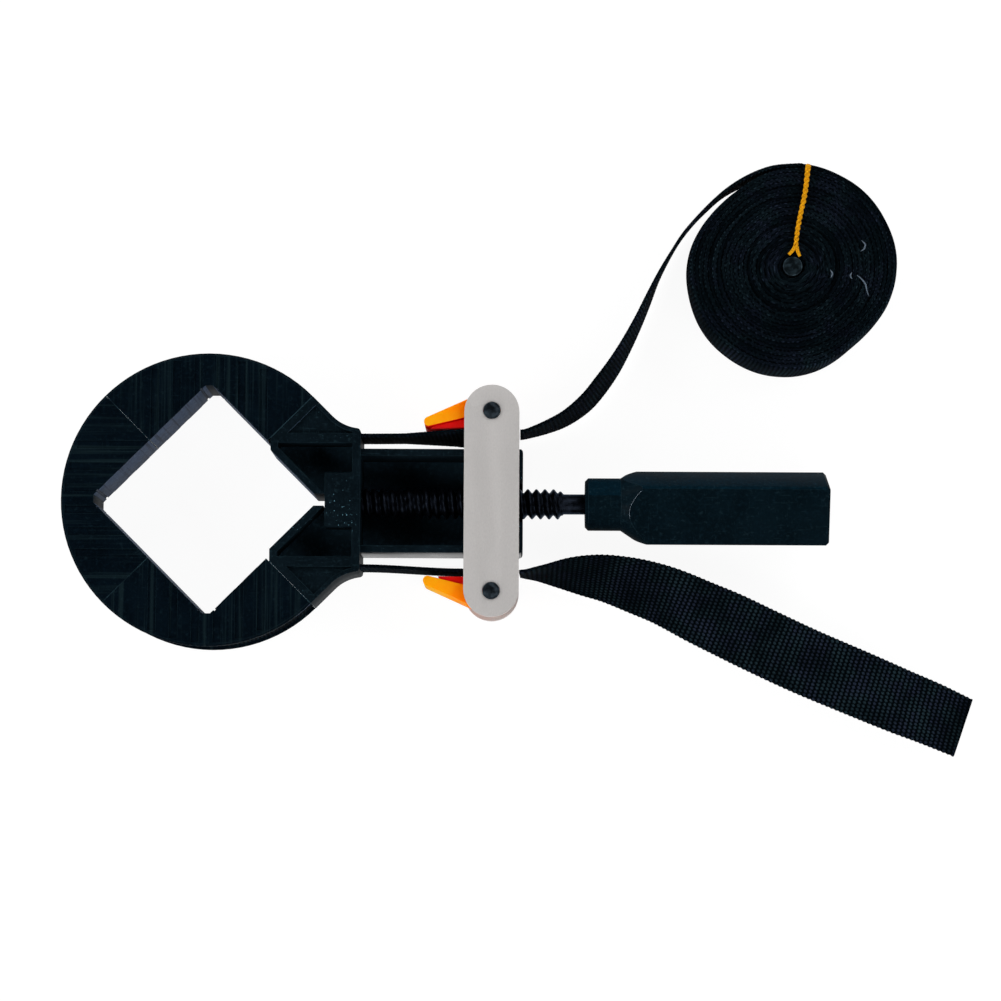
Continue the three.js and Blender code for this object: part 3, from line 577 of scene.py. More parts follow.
def brushed_plate(name, colour):
    """Light metal, finely scuffed, with small dents, specks and a painted highlight on its rounded edges."""
    material, tree, shader = start_material(name)
    base = place(tree)
    grain = noise(place(tree, (2200, 900, 2200)), 1.0, 3.0, 0.65)
    broad = noise(place(tree, (160, 40, 160)), 1.0, 2.0)
    specks = ramp(noise(base, 900.0, 3.0, 0.7), 0.6, 0.8, 0.0, 0.35)
    tone = mixed(ramp(grain, 0.3, 0.7), scaled(colour, 0.96), scaled(colour, 1.05))
    tone = mixed(ramp(broad, 0.35, 0.7, 0.0, 0.25), tone, scaled(colour, 0.86))
    tone = mixed(specks, tone, scaled(colour, 0.72))
    inputs = {
        # Painted highlight: the faces of the rounded edges are mixed towards a much lighter colour.
        "Base Color": mixed(times(rounded_edge_highlight(tree), 0.7), tone, lighter(colour, 0.8)),
        "Metallic": 0.3,
        "Roughness": ramp(grain, 0.2, 0.8, 0.4, 0.55),
        "Anisotropic": 0.3,
    }
    fill_shader(shader, inputs, plus(grain, noise(base, 1200.0, 3.0)), 0.2, 0.00004)
    return material


def blackened_steel(name, colour, roughness=0.34):
    material, tree, shader = start_material(name)
    base = place(tree)
    blotches = noise(base, 500.0, 4.0)
    inputs = {
        "Base Color": mixed(ramp(blotches, 0.4, 0.7), colour, scaled(colour, 3.5)),
        "Metallic": 0.85,
        "Specular IOR Level": 0.1,
        "Specular Tint": (0.5, 0.55, 0.62, 1),
        "Roughness": ramp(blotches, 0.3, 0.7, roughness - 0.06, roughness + 0.12),
    }
    fill_shader(shader, inputs, noise(base, 1800.0), 0.2, 0.00005)
    return material


def lever_plastic(name, face, inside, neck_side):
    """Orange plastic with painted shade: deep red on the upright faces that look towards the neck, darker
    orange towards the plates.
    """
    material, tree, shader = start_material(name)
    normal = add(tree, "ShaderNodeTexCoord").outputs["Normal"]
    inward = times(part_of(normal, 1), neck_side)
    base = place(tree)
    # Painted shade: the broad faces go from a lighter orange at the tips to a darker one by the plates.
    plate_shade = ramp(part_of(base, 0), RING_X + 0.084, RING_X + 0.100)
    broad = mixed(plate_shade, (face[0], face[1] * 1.35, 4 * face[2]), (face[0], face[1] * 0.68, face[2]))
    pale = ramp(noise(base, 160.0), 0.4, 0.65, 0.0, 0.3)
    broad = mixed(pale, broad, (1.0, face[1] * 1.7, 0.01))
    # Painted shade: the upright faces that look towards the neck take the deep red.
    inputs = {
        "Base Color": mixed(ramp(inward, 0.3, 0.8), broad, inside),
        "Roughness": 0.5,
        "Specular IOR Level": 0.004,
        "Subsurface Weight": 0.5,
        "Subsurface Radius": (1.0, 0.12, 0.05),
        "Subsurface Scale": 0.008,
    }
    fill_shader(shader, inputs, noise(base, 1500.0), 0.12, 0.00006)
    return material


def twisted_cord(name, colour):
    material, tree, shader = start_material(name)
    fibre = noise(place(tree), 2400.0, 3.0)
    tone = mixed(ramp(fibre, 0.35, 0.7), scaled(colour, 0.55), scaled(colour, 1.15))
    inputs = {"Base Color": tone, "Roughness": 0.7, "Specular IOR Level": 0.1}
    fill_shader(shader, inputs, fibre, 0.5, 0.0001)
    return material


def table_top(name):
    """A white floor that keeps the clamp's shadow."""
    material = bpy.data.materials.new(name)
    tree = blank_tree(material)
    matt = add(tree, "ShaderNodeBsdfDiffuse", {"Color": (0.8, 0.8, 0.8, 1)})
    half = add(tree, "ShaderNodeBsdfDiffuse", {"Color": (0.12, 0.12, 0.12, 1)})
    glow = add(tree, "ShaderNodeEmission", {"Color": (1, 1, 1, 1), "Strength": 0.93})
    white = add(tree, "ShaderNodeAddShader", {0: half.outputs[0], 1: glow.outputs[0]})
    path = add(tree, "ShaderNodeLightPath")
    seen = math_node("MAXIMUM", path.outputs["Is Camera Ray"], path.outputs["Is Glossy Ray"])
    mix = add(tree, "ShaderNodeMixShader", {0: seen, 1: matt.outputs[0], 2: white.outputs[0]})
    add(tree, "ShaderNodeOutputMaterial", {0: mix.outputs[0]})
    return material


def shared(name, make, *values, **settings):
    """A material by its name, made the first time that it is asked for."""
    return bpy.data.materials.get(name) or make(name, *values, **settings)


def dark_plastic(name, colour, *values, **settings):
    """A moulded plastic by its name, whose wear marks and painted edge highlights take the scene's rubbed
    colour.
    """
    return shared(name, moulded_plastic, colour, bpy.context.scene.finishes.rubbed, *values, **settings)


def plain_webbing(finishes):
    return shared("woven webbing", woven_webbing, finishes.webbing, finishes.yarn_highlight)


def finish_piece(piece, material, nodes=(), body=None):
    piece.data.materials.clear()
    piece.data.materials.append(material)
    if nodes:
        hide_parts(*nodes)
    if body:
        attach(piece, body)
    return piece


def dress(name, node, material, slot, body, *refining):
    """A refined copy of a CAD node, finished in its place."""
    return finish_piece(refined_copy(name, node, *refining), material, [node], body)


def body_plastic():
    return dark_plastic("body plastic", bpy.context.scene.finishes.body, dust=0.9)


class Step:
    """What every operator here does: it builds something in the scene."""

    def execute(self, context):
        self.build(context.scene)
        return {"FINISHED"}


# The stage

# The camera's focal length in widths of its picture, and how far it is turned about its axis, in radians.
FOCAL_WIDTHS = 3140.8 / 1001
CAMERA_ROLL = 0.0052

# The X of the spot on the table that the lamps point at, and the first soft light's direction from it.
LIT_X = 0.05
FIRST_LIGHT = math.radians(35)


class CLAMP_OT_stage(Step, bpy.types.Operator):
    """Set up the white floor, the soft lights and the camera above the table"""

    bl_idname = "clamp.stage"
    bl_label = "Stage"

    def build(self, scene):
        settings = scene.studio_settings
        self.camera(scene, settings)
        self.floor(settings)
        self.lights(settings)
        self.world(scene)
        scene.view_settings.view_transform = "Standard"

    def camera(self, scene, settings):
        data = bpy.data.cameras.new("table camera")
        data.sensor_width = 36
        data.lens = FOCAL_WIDTHS * data.sensor_width
        data.clip_end = 50
        camera = linked("table camera", data)
        eye = Vector((RING_X + 0.11746, -0.11642, settings.camera_height))
        target = Vector((RING_X + 0.10998, 0.00288, 0))
        back = (eye - target).normalized()
        right = Vector((0, 1, 0)).cross(back).normalized()
        up = back.cross(right)
        cosine, sine = math.cos(CAMERA_ROLL), math.sin(CAMERA_ROLL)
        axes = Matrix((right * cosine + up * sine, up * cosine - right * sine, back)).transposed()
        camera.matrix_world = Matrix.Translation(eye) @ axes.to_4x4()
        scene.camera = camera

    def floor(self, settings):
        half = settings.floor_size / 2
        corners = [(x * half, y * half, -0.0001) for x, y in ((-1, -1), (1, -1), (1, 1), (-1, 1))]
        floor = new_piece("floor", corners, [(0, 1, 2, 3)], smooth=False)
        floor.data.materials.append(shared("white table", table_top))

    def lights(self, settings):
        flat = settings.light_distance * math.cos(settings.light_elevation)
        height = settings.light_distance * math.sin(settings.light_elevation)
        for index in range(settings.sides):
            angle = FIRST_LIGHT + 2 * math.pi * index / settings.sides
            spot = Vector((LIT_X + flat * math.cos(angle), flat * math.sin(angle), height))
            power = settings.light_power
            self.lamp("soft light %d" % index, spot, power, shape="RECTANGLE", size=1.1, size_y=0.7)
        self.lamp("small light", Vector((-0.86, -0.1, 0.38)), settings.glint_power, shape="DISK", size=0.12)

    def lamp(self, name, spot, power, **settings):
        """An area lamp that points at the clamp."""
        data = bpy.data.lights.new(name, "AREA")
        data.energy = power
        for key, value in settings.items():
            setattr(data, key, value)
        lamp = linked(name, data)
        lamp.location = spot
        lamp.rotation_euler = (spot - Vector((LIT_X, 0, 0))).to_track_quat("Z", "Y").to_euler()

    def world(self, scene):
        world = bpy.data.worlds.new("studio")
        tree = blank_tree(world)
        upward = part_of(add(tree, "ShaderNodeTexCoord").outputs["Generated"], 2)
        strength = ramp(upward, 0.1, 0.85, 0.8, 0.03)
        room = add(tree, "ShaderNodeBackground", {"Color": (0.93, 0.97, 1.0, 1), "Strength": strength})
        white = add(tree, "ShaderNodeBackground", {"Color": (1, 1, 1, 1), "Strength": 1.0})
        seen = add(tree, "ShaderNodeLightPath").outputs["Is Camera Ray"]
        mix = add(tree, "ShaderNodeMixShader", {0: seen, 1: room.outputs[0], 2: white.outputs[0]})
        add(tree, "ShaderNodeOutputWorld", {0: mix.outputs[0]})
        scene.world = world


# The free webbing

# The same points as the solids follow, in metres: X from the ring's centre, Y, height, and turn in degrees.
FEED_ROUTE = [
    [0.1175, 0.0266, 0.015, 0], [0.12, 0.027, 0.015, 0], [0.1275, 0.0296, 0.015, 3],
    [0.135, 0.0332, 0.015, 6], [0.1424, 0.039, 0.015, 9], [0.1478, 0.0454, 0.015, 10],
    [0.1533, 0.0532, 0.015, 9], [0.158, 0.0614, 0.015, 7], [0.1624, 0.0702, 0.0149, 5],
    [0.1665, 0.0794, 0.0149, 3], [0.1704, 0.0882, 0.0148, 0], [0.1746, 0.096, 0.0148, -2],
    [0.1788, 0.1029, 0.0148, -3], [0.1839, 0.1093, 0.0147, -4], [0.18935, 0.115, 0.0147, -4],
    [0.19515, 0.1202, 0.0146, -4], [0.20165, 0.1243, 0.0146, -3], [0.20815, 0.1272, 0.0145, -2],
    [0.21445, 0.1288, 0.0145, -1],
]
TAIL_ROUTE = [
    [0.1175, -0.0266, 0.015, 0], [0.12, -0.0266, 0.015, 2], [0.126, -0.0263, 0.0147, 9],
    [0.135, -0.0263, 0.0139, 23], [0.143, -0.0269, 0.0131, 33], [0.152, -0.0282, 0.0123, 41],
    [0.163, -0.0311, 0.0115, 51], [0.174, -0.0349, 0.0109, 58], [0.187, -0.0409, 0.0105, 68],
    [0.197, -0.0454, 0.0103, 77], [0.209, -0.0511, 0.01, 86], [0.226, -0.0589, 0.0094, 91],
    [0.246, -0.0672, 0.0085, 96], [0.262, -0.0738, 0.0076, 102], [0.274, -0.0785, 0.0068, 107],
    [0.2865, -0.0839, 0.0059, 113],
]

# Pale fibres on the coil, as points from its centre.
WISPS = (
    [(0.0262, 0.0102), (0.0276, 0.0087), (0.0272, 0.0070), (0.0258, 0.0060)],
    [(0.0243, -0.0031), (0.0262, -0.0047), (0.0276, -0.0066), (0.0281, -0.0090), (0.0289, -0.0112)],
    [(0.0143, -0.0011), (0.0151, -0.0026), (0.0145, -0.0042)],
    [(0.0226, -0.0020), (0.0219, -0.0034), (0.0226, -0.0046)],
)

# How narrow the coil's dents are, its steps in one loop, and the length of one twist of its tie.
DENT_POWER = 8
LOOP_STEPS = 150
TIE_TWIST = 0.0042


def in_frame(route):
    return [[x + RING_X, y, z, math.radians(turn)] for x, y, z, turn in route]


def coil_radius(coil, band, angle, turn):
    """The radius of the coil's middle line at an angle and a number of turns in."""
    dent = coil.dent * math.cos(angle - coil.dent_angle) ** DENT_POWER
    return (coil.radius - band.thickness / 2 - turn * coil.pitch) * (1 - dent)


def coil_spot(coil, angle, out, height, aside=0.0):
    """A point that lies so far out from the coil's centre at an angle, and so far aside of that line."""
    return [
        coil.centre[0] + out * math.cos(angle) - aside * math.sin(angle),
        coil.centre[1] + out * math.sin(angle) + aside * math.cos(angle),
        height,
        0,
    ]


class CLAMP_OT_coil(Step, bpy.types.Operator):
    """Wind the spare webbing into its coil, on its core and under its tie"""

    bl_idname = "clamp.coil"
    bl_label = "Coil"

    def build(self, scene):
        coil, band, finishes = scene.coil_sizes, scene.band_sizes, scene.finishes
        route = self.spiral(coil, band)
        winding = webbing("webbing_coil", route, 7, fuller=0.00038, bow=0.0008)
        yarn = scaled(finishes.yarn_highlight, 1.15)
        material = shared("coiled webbing", woven_webbing, scaled(finishes.webbing, 2), yarn, coil=coil)
        finish_piece(winding, material, ["strap_coil"], "crosshead")
        self.core(coil)
        self.tie(coil, band, finishes)
        self.lint(coil, band)

    def spiral(self, coil, band):
        """Loops that are pressed in a little on two sides, and stand a little uneven."""
        loops = (coil.radius - band.thickness / 2 - coil.inner_radius) / coil.pitch
        steps = round(loops * LOOP_STEPS)
        route = []
        for step in range(steps + 1):
            turn = loops * step / steps
            angle = coil.entry_angle - 2 * math.pi * turn
            radius = coil_radius(coil, band, angle, turn)
            radius += 0.00006 * math.sin(5 * angle + 1.7 * turn) + 0.00005 * math.sin(9 * angle - turn)
            rise = 0.00025 * math.sin(2.3 * turn) + 0.0002 * math.sin(3 * angle + 0.9 * turn)
            rise += 0.00012 * math.sin(11 * angle + 2.1 * turn)
            route.append(coil_spot(coil, angle, radius, coil.base + band.width / 2 + rise))
        return route

    def core(self, coil):
        """The pin inside the coil, with a low domed head that has a rim."""
        low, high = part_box("coil_core")
        radius = coil.core_radius
        seat = high.z - 0.0014
        stem = radius - 0.0002
        profile = [(0, low.z), (stem, low.z), (stem, seat), (radius, seat)]
        profile += rounded_rim(radius, high.z, 0.0004)
        profile += [(radius * 0.72, high.z - 0.00025), (radius * 0.4, high.z - 0.0001), (0, high.z - 0.00005)]
        core = turned("coil_core_pin", profile)
        core.location = (coil.centre[0], coil.centre[1], 0)
        steel = shared("core steel", blackened_steel, (0.010, 0.016, 0.020), 0.38)
        finish_piece(core, steel, ["coil_core"], "crosshead")

    def tie(self, coil, band, finishes):
        """Two strands twisted together, over the coil and back under it, and parted at the core's head."""
        radius = coil.tie_diameter / 2
        top = coil.base + band.width + 0.0004 + radius
        outside = coil.radius - 0.0009
        corner = coil.tie_diameter
        inset = 0.3 * corner

        def spot(out, height, aside=0.0):
            return coil_spot(coil, coil.tie_angle, out, height, aside)

        route = strand_path([
            spot(0.0064, top), spot(0.016, top, 0.0003), spot(0.028, top, -0.0003),
            spot(outside - corner, top), spot(outside - inset, top - inset), spot(outside, top - corner),
            spot(outside, 0.5 * top), spot(outside, radius + corner), spot(outside - inset, radius + inset),
            spot(outside - corner, radius), spot(0.02, radius), spot(0.0045, radius),
        ])
        side = Vector((-math.sin(coil.tie_angle), math.cos(coil.tie_angle), 0))
        cords = []
        for number in range(2):
            path = []
            for index, point in enumerate(route):
                other = heading(route, index).cross(side)
                angle = 2 * math.pi * index * STRAND_STEP / TIE_TWIST + math.pi * number
                path.append(point + (side * math.cos(angle) + other * math.sin(angle)) * radius * 0.46)
            cords.append(tube("tie_strand", path, lambda share: radius * min(0.62, 0.48 + 0.4 * share), 8))
        for sign in (1, -1):
            aside = 0.0021 * sign
            reach = math.sqrt((coil.core_radius + 0.00095) ** 2 - aside**2)
            leg = [spot(0.0076, top, 0.0003 * sign), spot(0.006, top, aside * 0.45), spot(reach, top, aside)]
            cords.append(tube("tie_leg", strand_path(leg), lambda share: radius * (0.75 - 0.15 * share), 10))
        whole = join_pieces("coil_tie_cord", cords)
        material = shared("twisted cord", twisted_cord, finishes.tie)
        finish_piece(whole, material, ["coil_tie"], "crosshead")

    def lint(self, coil, band):
        """A few pale fibres that lie on the coil."""
        top = coil.base + band.width + 0.0003
        strands = []
        for wisp in WISPS:
            path = strand_path([[coil.centre[0] + x, coil.centre[1] + y, top] for x, y in wisp])
            strands.append(tube("wisp", path, lambda share: 0.00006 + 0.0011 * share * (1 - share), 6))
        lint = join_pieces("coil_lint", strands)
        finish_piece(lint, shared("lint", twisted_cord, (0.13, 0.17, 0.22)), (), "crosshead")


class CLAMP_OT_free_runs(Step, bpy.types.Operator):
    """Lay the free runs of webbing: from the crossbar to the coil, and the cut tail"""

    bl_idname = "clamp.free_runs"
    bl_label = "Free webbing"

    def build(self, scene):
        coil, band = scene.coil_sizes, scene.band_sizes
        material = plain_webbing(scene.finishes)
        radius = coil_radius(coil, band, coil.entry_angle, 0)
        height = coil.base + band.width / 2
        ends = [coil_spot(coil, coil.entry_angle, radius, height, gap) for gap in (0.0014, 0.0001)]
        on_coil = ["webbing_coil", "coil_core_pin", "coil_tie_cord", "coil_lint"]
        for side, points, stretch, carried in (
            ("feed", in_frame(FEED_ROUTE) + ends, 1.0, on_coil),
            ("tail", in_frame(TAIL_ROUTE), 1.18, []),
        ):
            route = smooth_route(points, WEBBING_STEP)
            run = webbing("webbing_" + side, route, across_points=21, stretch=stretch)
            finish_piece(run, material, ["strap_" + side], "crosshead")


# The webbing on the clamp

# How far the middle of a shoulder's arc lies from the clamp's centre line.
SHOULDER_Y = 0.043

# Where the neck's straight runs end, from the ring's centre, and the last points of each: X, Y and lean.
NECK_END = 0.09635
NECK_LAST = {
    "feed": [[0.107, 0.0259, 4], [0.11715, 0.0266, 0]],
    "tail": [[0.107, 0.0266, 0], [0.11715, 0.0266, 0]],
}


def arc(centre, radius, degrees):
    """Points on an arc at a row of angles in degrees."""
    angles = [math.radians(angle) for angle in degrees]
    return [(centre[0] + radius * math.cos(angle), centre[1] + radius * math.sin(angle)) for angle in angles]


class CLAMP_OT_held_band(Step, bpy.types.Operator):
    """Lay the webbing round the jaws, through the shoulders and along the neck"""

    bl_idname = "clamp.held_band"
    bl_label = "Webbing on the clamp"

    def build(self, scene):
        material = plain_webbing(scene.finishes)
        self.ring(scene.band_sizes, material)
        self.neck(scene.band_sizes, material)

    def shoulder_centre(self, band):
        """The centre of the arc that the band takes inside the feed side's shoulder."""
        corner = (band.ring_radius - 0.0004 + band.shoulder_radius) / math.sqrt(2)
        return Vector((2 * corner - SHOULDER_Y, SHOULDER_Y))

    def half_ring(self, band):
        """From the rear wall of the feed side's shoulder, over the seam, to the middle of the far jaw."""
        bend = [-90 - 45 * step / 40 for step in range(40)]
        round_jaws = [46 + 134 * step / 260 for step in range(261)]
        route = arc(self.shoulder_centre(band), band.shoulder_radius, bend)
        route += arc((0, 0), band.ring_radius, round_jaws)
        return [[x + RING_X, y, MID_HEIGHT, 0] for x, y in route]

    def ring(self, band, material):
        half = smooth_route(self.half_ring(band), 0.0006)
        middle = next(index for index, point in enumerate(half) if point[0] <= RING_X)
        near, far = half[: middle + 1], half[middle:]
        for name, side, route, seam, parts, before, after in (
            ("feed_shoulder", 1, near, 0, ["shoulder_feed", "jaw_feed"], "clamp_body", "jaw_feed"),
            ("feed_far", 1, far, 1, ["jaw_far_feed"], "jaw_feed", "jaw_far"),
            ("tail_far", -1, far, 1, ["jaw_far_tail"], "jaw_tail", "strap_far_tail"),
            ("tail_shoulder", -1, near, 0, ["shoulder_tail", "jaw_tail"], "clamp_body", "jaw_tail"),
        ):
            piece = webbing("webbing_ring_" + name, [[x, side * y, z, turn] for x, y, z, turn in route], 11)
            finish_piece(piece, material, ["strap_" + part for part in parts])
            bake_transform(piece)

    def neck(self, band, material):
        """The two runs beside the neck, which lean a little towards the feed side at the crossbar."""
        centre = self.shoulder_centre(band)
        start_y = centre.y - band.shoulder_radius
        for side, sign, drift, most_lean in (("feed", 1, 0.0004, 7), ("tail", -1, 0.0262 - start_y, 0)):
            points = []
            for step in range(13):
                share = step / 12
                eased = share * share * (3 - 2 * share)
                lean = most_lean * max(0.0, (share - 0.4) / 0.6)
                points.append([centre.x + (NECK_END - centre.x) * share, start_y + drift * eased, lean])
            points += NECK_LAST[side]
            route = [[x + RING_X, sign * y, MID_HEIGHT, math.radians(lean)] for x, y, lean in points]
            piece = webbing("webbing_neck_" + side, smooth_route(route, WEBBING_STEP), 15)
            finish_piece(piece, material, ["strap_neck_" + side, "strap_clamp_" + side])
            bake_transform(piece)


# The rigid pieces

# The levers' lower webs: X from the ring's centre with the distance from the centre line, and both heights.
WEB_OUTLINES = {
    "feed": (
        (0.0830, 0.0272), (0.0961, 0.0277), (0.1035, 0.0281),
        (0.1035, 0.0318), (0.0961, 0.0312), (0.085, 0.0285),
    ),
    "tail": (
        (0.0866, 0.0284), (0.0950, 0.0285), (0.1035, 0.0286),
        (0.1035, 0.032), (0.0961, 0.0314), (0.088, 0.0295),
    ),
}
WEB_HEIGHTS = (0.006, 0.0264)


def close_seams(piece):
    """Move the faces at the seams between the jaws up to one another, but for a hair; give their rounded edges
    a stronger painted highlight.
    """
    rounded = piece.data.attributes["rounded"].data
    for angle in SEAMS:
        across = Vector((-math.sin(angle), math.cos(angle), 0))
        for vertex in piece.data.vertices:
            off = (vertex.co - RING_CENTRE).dot(across)
            if 0 < abs(off) < SEAM_NEAR:
                vertex.co -= across * math.copysign(SEAM_MOVE, off)
        # The rounded edges beside a seam get a threefold painted highlight.
        for polygon in piece.data.polygons:
            near = abs((polygon.center - RING_CENTRE).dot(across)) < 0.0004
            if near and rounded[polygon.index].value:
                rounded[polygon.index].value = 3.0


def paint_wall_reflection(piece, finishes):
    """Paint the white table's reflection, as lighter plastic, on upright faces round the opening and in
    shallow recesses.
    """
    # Painted reflection: the walls that face the opening or sit in the recesses take a lighter lilac plastic
    # with streaks.
    wall_reflection = finishes.wall_reflection
    wear_and_reflection = shared("rubbed plastic", moulded_plastic, wall_reflection, scaled(wall_reflection, 2), stripe=(900, 900, 12))
    piece.data.materials.append(wear_and_reflection)
    slot = len(piece.data.materials) - 1
    for polygon in piece.data.polygons:
        normal, centre = polygon.normal, polygon.center
        diagonal = abs(normal.z) < 0.2 and abs(abs(normal.x) - abs(normal.y)) < 0.15
        inward = -(centre - RING_CENTRE).dot(normal)
        recess = centre.z > 0.0245 and abs(normal.z) < 0.1 and inward < -0.001
        if diagonal and (recess or 0.025 < inward < 0.034):
            polygon.material_index = slot


class CLAMP_OT_jaws(Step, bpy.types.Operator):
    """Dress the three corner jaws"""

    bl_idname = "clamp.jaws"
    bl_label = "Corner jaws"

    def build(self, scene):
        finishes = scene.finishes
        for side in ("feed", "far", "tail"):
            stripe = (12, 700, 12) if side == "far" else (700, 12, 12)
            plastic = dark_plastic("jaw plastic " + side, finishes.jaw, wear=0.12, edge=0.25, stripe=stripe)
            jaw = refined_copy("jaw_" + side, "corner_jaw_" + side)
            close_seams(jaw)
            finish_piece(jaw, plastic, ["corner_jaw_" + side], "jaw_" + side)
            paint_wall_reflection(jaw, finishes)


class CLAMP_OT_body(Step, bpy.types.Operator):
    """Dress the clamp body"""

    bl_idname = "clamp.body"
    bl_label = "Clamp body"

    def build(self, scene):
        finishes = scene.finishes
        body = refined_copy("body_moulding", "clamp_body", 0.0004)
        close_seams(body)
        finish_piece(body, body_plastic(), ["clamp_body"], "clamp_body")
        body.data.materials.append(dark_plastic("neck plastic", finishes.body, roughness=0.26, gloss=0.12))
        # Painted light: upward faces low in the body take the body colour seven times lighter, lifting the
        # shade there.
        body.data.materials.append(dark_plastic("trough plastic", scaled(finishes.body, 7)))
        paint_wall_reflection(body, finishes)
        for polygon in body.data.polygons:
            beside = 0.018 < abs(polygon.center.y) < 0.024 and polygon.center.x > RING_X + 0.062
            if beside and abs(polygon.normal.y) > 0.8:
                polygon.material_index = 1
            # Low upward faces: painted light.
            elif polygon.normal.z > 0.9 and polygon.center.z < 0.024:
                polygon.material_index = 2


class CLAMP_OT_screw(Step, bpy.types.Operator):
    """Cut the screw's thread"""

    bl_idname = "clamp.screw"
    bl_label = "Screw"

    def build(self, scene):
        sizes = scene.screw_sizes
        sides, per_pitch = 48, 14
        rows = round((sizes.thread_end - sizes.start) / sizes.pitch * per_pitch)
        rings = []
        for row in range(rows + 1):
            x = sizes.start + (sizes.thread_end - sizes.start) * row / rows
            fade = min(1.0, (rows - row) / (0.4 * per_pitch), row / (0.5 * per_pitch) + 0.2)
            radii = []
            for side in range(sides):
                phase = (x - sizes.start) / sizes.pitch - side / sides
                slope = 1 - abs(2 * (phase % 1) - 1)
                crest = min(1.0, max(0.0, (slope - 0.12) / 0.72))
                radii.append(sizes.root_radius + (sizes.radius - sizes.root_radius) * crest * fade)
            rings.append((x, radii))
        shank = [sizes.shank_radius] * sides
        rings += [(sizes.thread_end + 0.0004, shank), (sizes.shank_end + 0.004, shank)]
        vertices = []
        for x, radii in rings:
            for side, radius in enumerate(radii):
                angle = 2 * math.pi * side / sides
                vertices.append((x, radius * math.cos(angle), MID_HEIGHT + radius * math.sin(angle)))
        screw = new_piece("screw_thread", vertices, skin(len(rings), sides))
        screw.data.set_sharp_from_angle(angle=math.radians(50))
        steel = shared("blackened steel", blackened_steel, scene.finishes.steel)
        finish_piece(screw, steel, ["screw"], "spindle")


class CLAMP_OT_grip(Step, bpy.types.Operator):
    """Dress the handle's grip, with painted light on its upper cone and facet and a painted glint by the cone
    """

    bl_idname = "clamp.grip"
    bl_label = "Grip"

    def build(self, scene):
        colour = scene.finishes.grip
        plastic = dark_plastic("grip plastic", colour, 0.4, 0.002, 0.2, 0.35)
        grip = dress("grip_moulding", "handle_grip", plastic, "grip_plastic", "spindle", 0.0003, 22)
        # Painted light: the upper cone lighter and glossier, the facet that faces +Y and up a lighter teal.
        lit_teal = (colour[0] * 0.9, colour[1] * 1.65, colour[2] * 1.85)
        for name, tone, roughness, gloss in (
            ("cone plastic", scaled(colour, 1.2), 0.2, 0.012),
            ("facet plastic", lit_teal, 0.4, 0.002),
            ("bright edge", (0.3, 0.36, 0.42), 0.4, 0.002),
        ):
            grip.data.materials.append(dark_plastic(name, tone, roughness, gloss))
        low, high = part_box("handle_grip")
        rounded = grip.data.attributes["rounded"].data
        for polygon in grip.data.polygons:
            normal, centre = polygon.normal, polygon.center
            if centre.x > low.x + 0.012 and -0.75 < normal.x < -0.3 and normal.z > 0.55:
                polygon.material_index = 1
            elif abs(normal.x) < 0.1 and 0.3 < normal.y < 0.95 and normal.z > 0.2:
                polygon.material_index = 2
            # Painted highlight: the rounded edge by the cone gets a sixfold highlight, and a grey-blue glint
            # in its middle.
            if rounded[polygon.index].value and -0.7 < normal.x < -0.12 and normal.z > 0.6:
                rounded[polygon.index].value = 6.0
                if centre.x > low.x + 0.0145 and abs(centre.y - (low.y + high.y) / 2) < 0.0042:
                    polygon.material_index = 3
                    rounded[polygon.index].value = 0.0


class CLAMP_OT_crossbar(Step, bpy.types.Operator):
    """Dress the crossbar's plates, pins, nut and anvils"""

    bl_idname = "clamp.crossbar"
    bl_label = "Crossbar"

    def build(self, scene):
        metal = shared("brushed plate", brushed_plate, scene.finishes.plate)
        steel = shared("blackened steel", blackened_steel, scene.finishes.steel)
        pin_steel = shared("pin steel", blackened_steel, (0.012, 0.016, 0.020), 0.42)
        for level in ("top", "bottom"):
            dress("plate_" + level, "crossbar_" + level, metal, "brushed_plate", "crosshead", 0.0003)
        dress("nut_block", "spindle_nut", steel, "dark_steel", "crosshead", 0.0003)
        for side in ("feed", "tail"):
            self.pin(side, pin_steel)
            dress("anvil_" + side, "strap_anvil_" + side, body_plastic(), "body_plastic", "crosshead", 0.0003)

    def pin(self, side, steel):
        """A riveted pin whose upper end has a bright rim and a slightly sunk face."""
        low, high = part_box("pivot_pin_" + side)
        middle = (low + high) / 2
        radius = (high.x - low.x) / 2
        profile = [(0, 0), (radius - 0.0004, 0), (radius, 0.0004)] + rounded_rim(radius, high.z, RIM_WIDTH)
        sunk = [(radius * 0.74, high.z - 0.00008), (radius * 0.66, high.z - 0.00022), (0, high.z - 0.0002)]
        pin = turned("pin_" + side, profile + sunk)
        pin.location = (middle.x, middle.y, 0)
        finish_piece(pin, steel, ["pivot_pin_" + side], "crosshead")


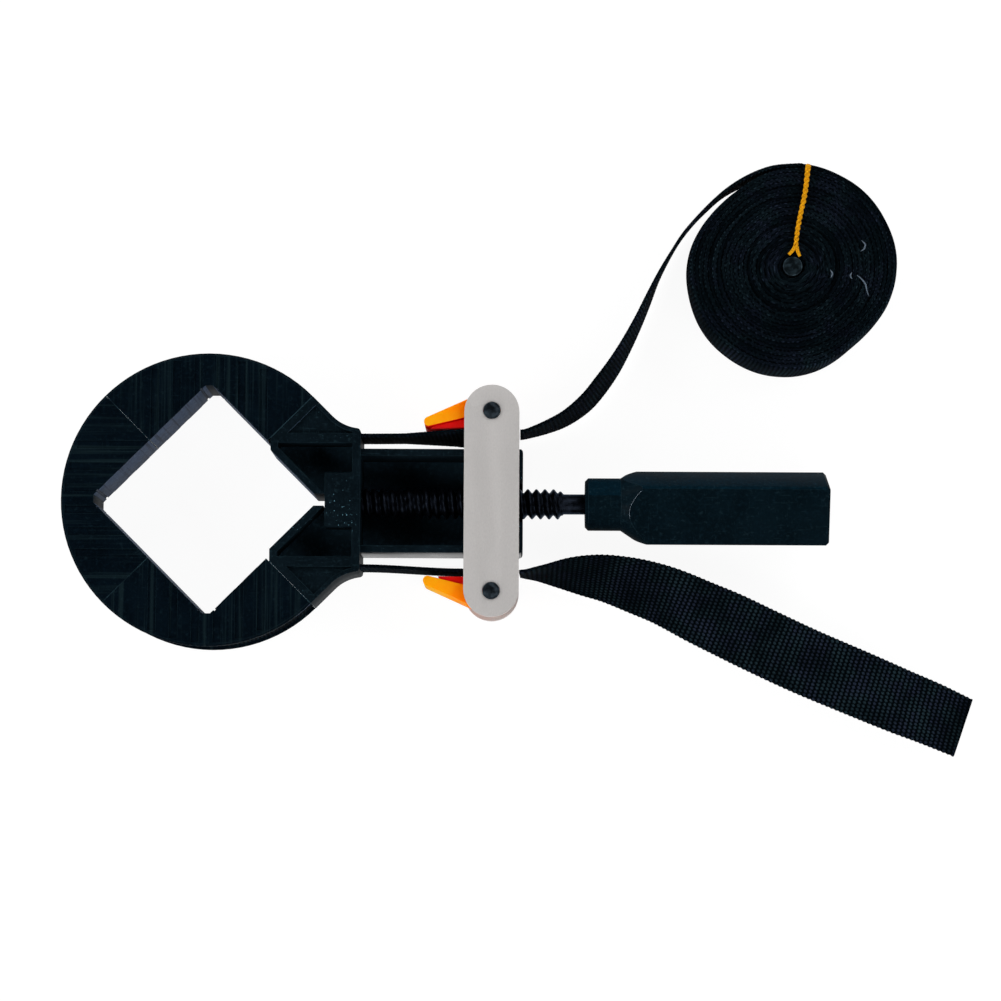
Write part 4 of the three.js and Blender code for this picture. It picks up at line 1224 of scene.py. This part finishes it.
class CLAMP_OT_levers(Step, bpy.types.Operator):
    """Dress the two cam levers"""

    bl_idname = "clamp.levers"
    bl_label = "Cam levers"

    def build(self, scene):
        # The second colour is painted shade for the faces by the neck.
        face, inside = scene.finishes.lever, scene.finishes.lever_shade
        for side, sign in (("feed", 1), ("tail", -1)):
            lever = "cam_lever_" + side
            plastic = shared("lever plastic " + side, lever_plastic, face, inside, -sign)
            dress("lever_" + side, lever, plastic, "lever_plastic", lever, 0.0006, 25, 3)
            # Painted shade: the lower web is all in the deep red of the shaded faces.
            web_shade_red = shared("lever web", lever_plastic, inside, inside, 1)
            finish_piece(self.web(side, sign), web_shade_red, (), lever)

    def web(self, side, sign):
        """The lower web of a lever, on its side by the neck."""
        outline = WEB_OUTLINES[side]
        vertices = [(x + RING_X, sign * y, z) for z in WEB_HEIGHTS for x, y in outline]
        faces = [face[::sign] for face in skin(2, len(outline))]
        web = new_piece("lever_web_" + side, vertices, faces, smooth=False)
        work = bmesh.new()
        work.from_mesh(web.data)
        bmesh.ops.bevel(work, geom=work.edges[:], offset=0.0004, segments=2, profile=0.6, affect="EDGES")
        work.to_mesh(web.data)
        work.free()
        return web


class CLAMP_PT_panel(bpy.types.Panel):
    """The clamp's pieces and their sizes"""

    bl_idname = "CLAMP_PT_panel"
    bl_label = "Band clamp"
    bl_space_type = "VIEW_3D"
    bl_region_type = "UI"
    bl_category = "Clamp"

    def draw(self, context):
        for operator in OPERATORS:
            self.layout.operator(operator.bl_idname)
        for name in GROUPS:
            box = self.layout.box()
            group = getattr(context.scene, name)
            for field in group.bl_rna.properties:
                if field.identifier not in ("rna_type", "name"):
                    box.prop(group, field.identifier)


GROUPS = {
    "band_sizes": BandSizes,
    "coil_sizes": CoilSizes,
    "screw_sizes": ScrewSizes,
    "finishes": Finishes,
    "studio_settings": StudioSettings,
}
OPERATORS = (
    CLAMP_OT_stage,
    CLAMP_OT_coil,
    CLAMP_OT_free_runs,
    CLAMP_OT_held_band,
    CLAMP_OT_jaws,
    CLAMP_OT_body,
    CLAMP_OT_screw,
    CLAMP_OT_grip,
    CLAMP_OT_crossbar,
    CLAMP_OT_levers,
)
CLASSES = (*GROUPS.values(), *OPERATORS, CLAMP_PT_panel)


def register():
    for kind in CLASSES:
        bpy.utils.register_class(kind)
    for name, group in GROUPS.items():
        setattr(bpy.types.Scene, name, PointerProperty(type=group))


def unregister():
    for name in GROUPS:
        delattr(bpy.types.Scene, name)
    for kind in reversed(CLASSES):
        bpy.utils.unregister_class(kind)


def main():
    register()
    bpy.ops.clamp.stage()
    bpy.ops.clamp.coil()
    bpy.ops.clamp.free_runs()
    bpy.ops.clamp.held_band()
    bpy.ops.clamp.jaws()
    bpy.ops.clamp.body()
    bpy.ops.clamp.screw()
    bpy.ops.clamp.grip()
    bpy.ops.clamp.crossbar()
    bpy.ops.clamp.levers()


if __name__ == "__main__":
    main()
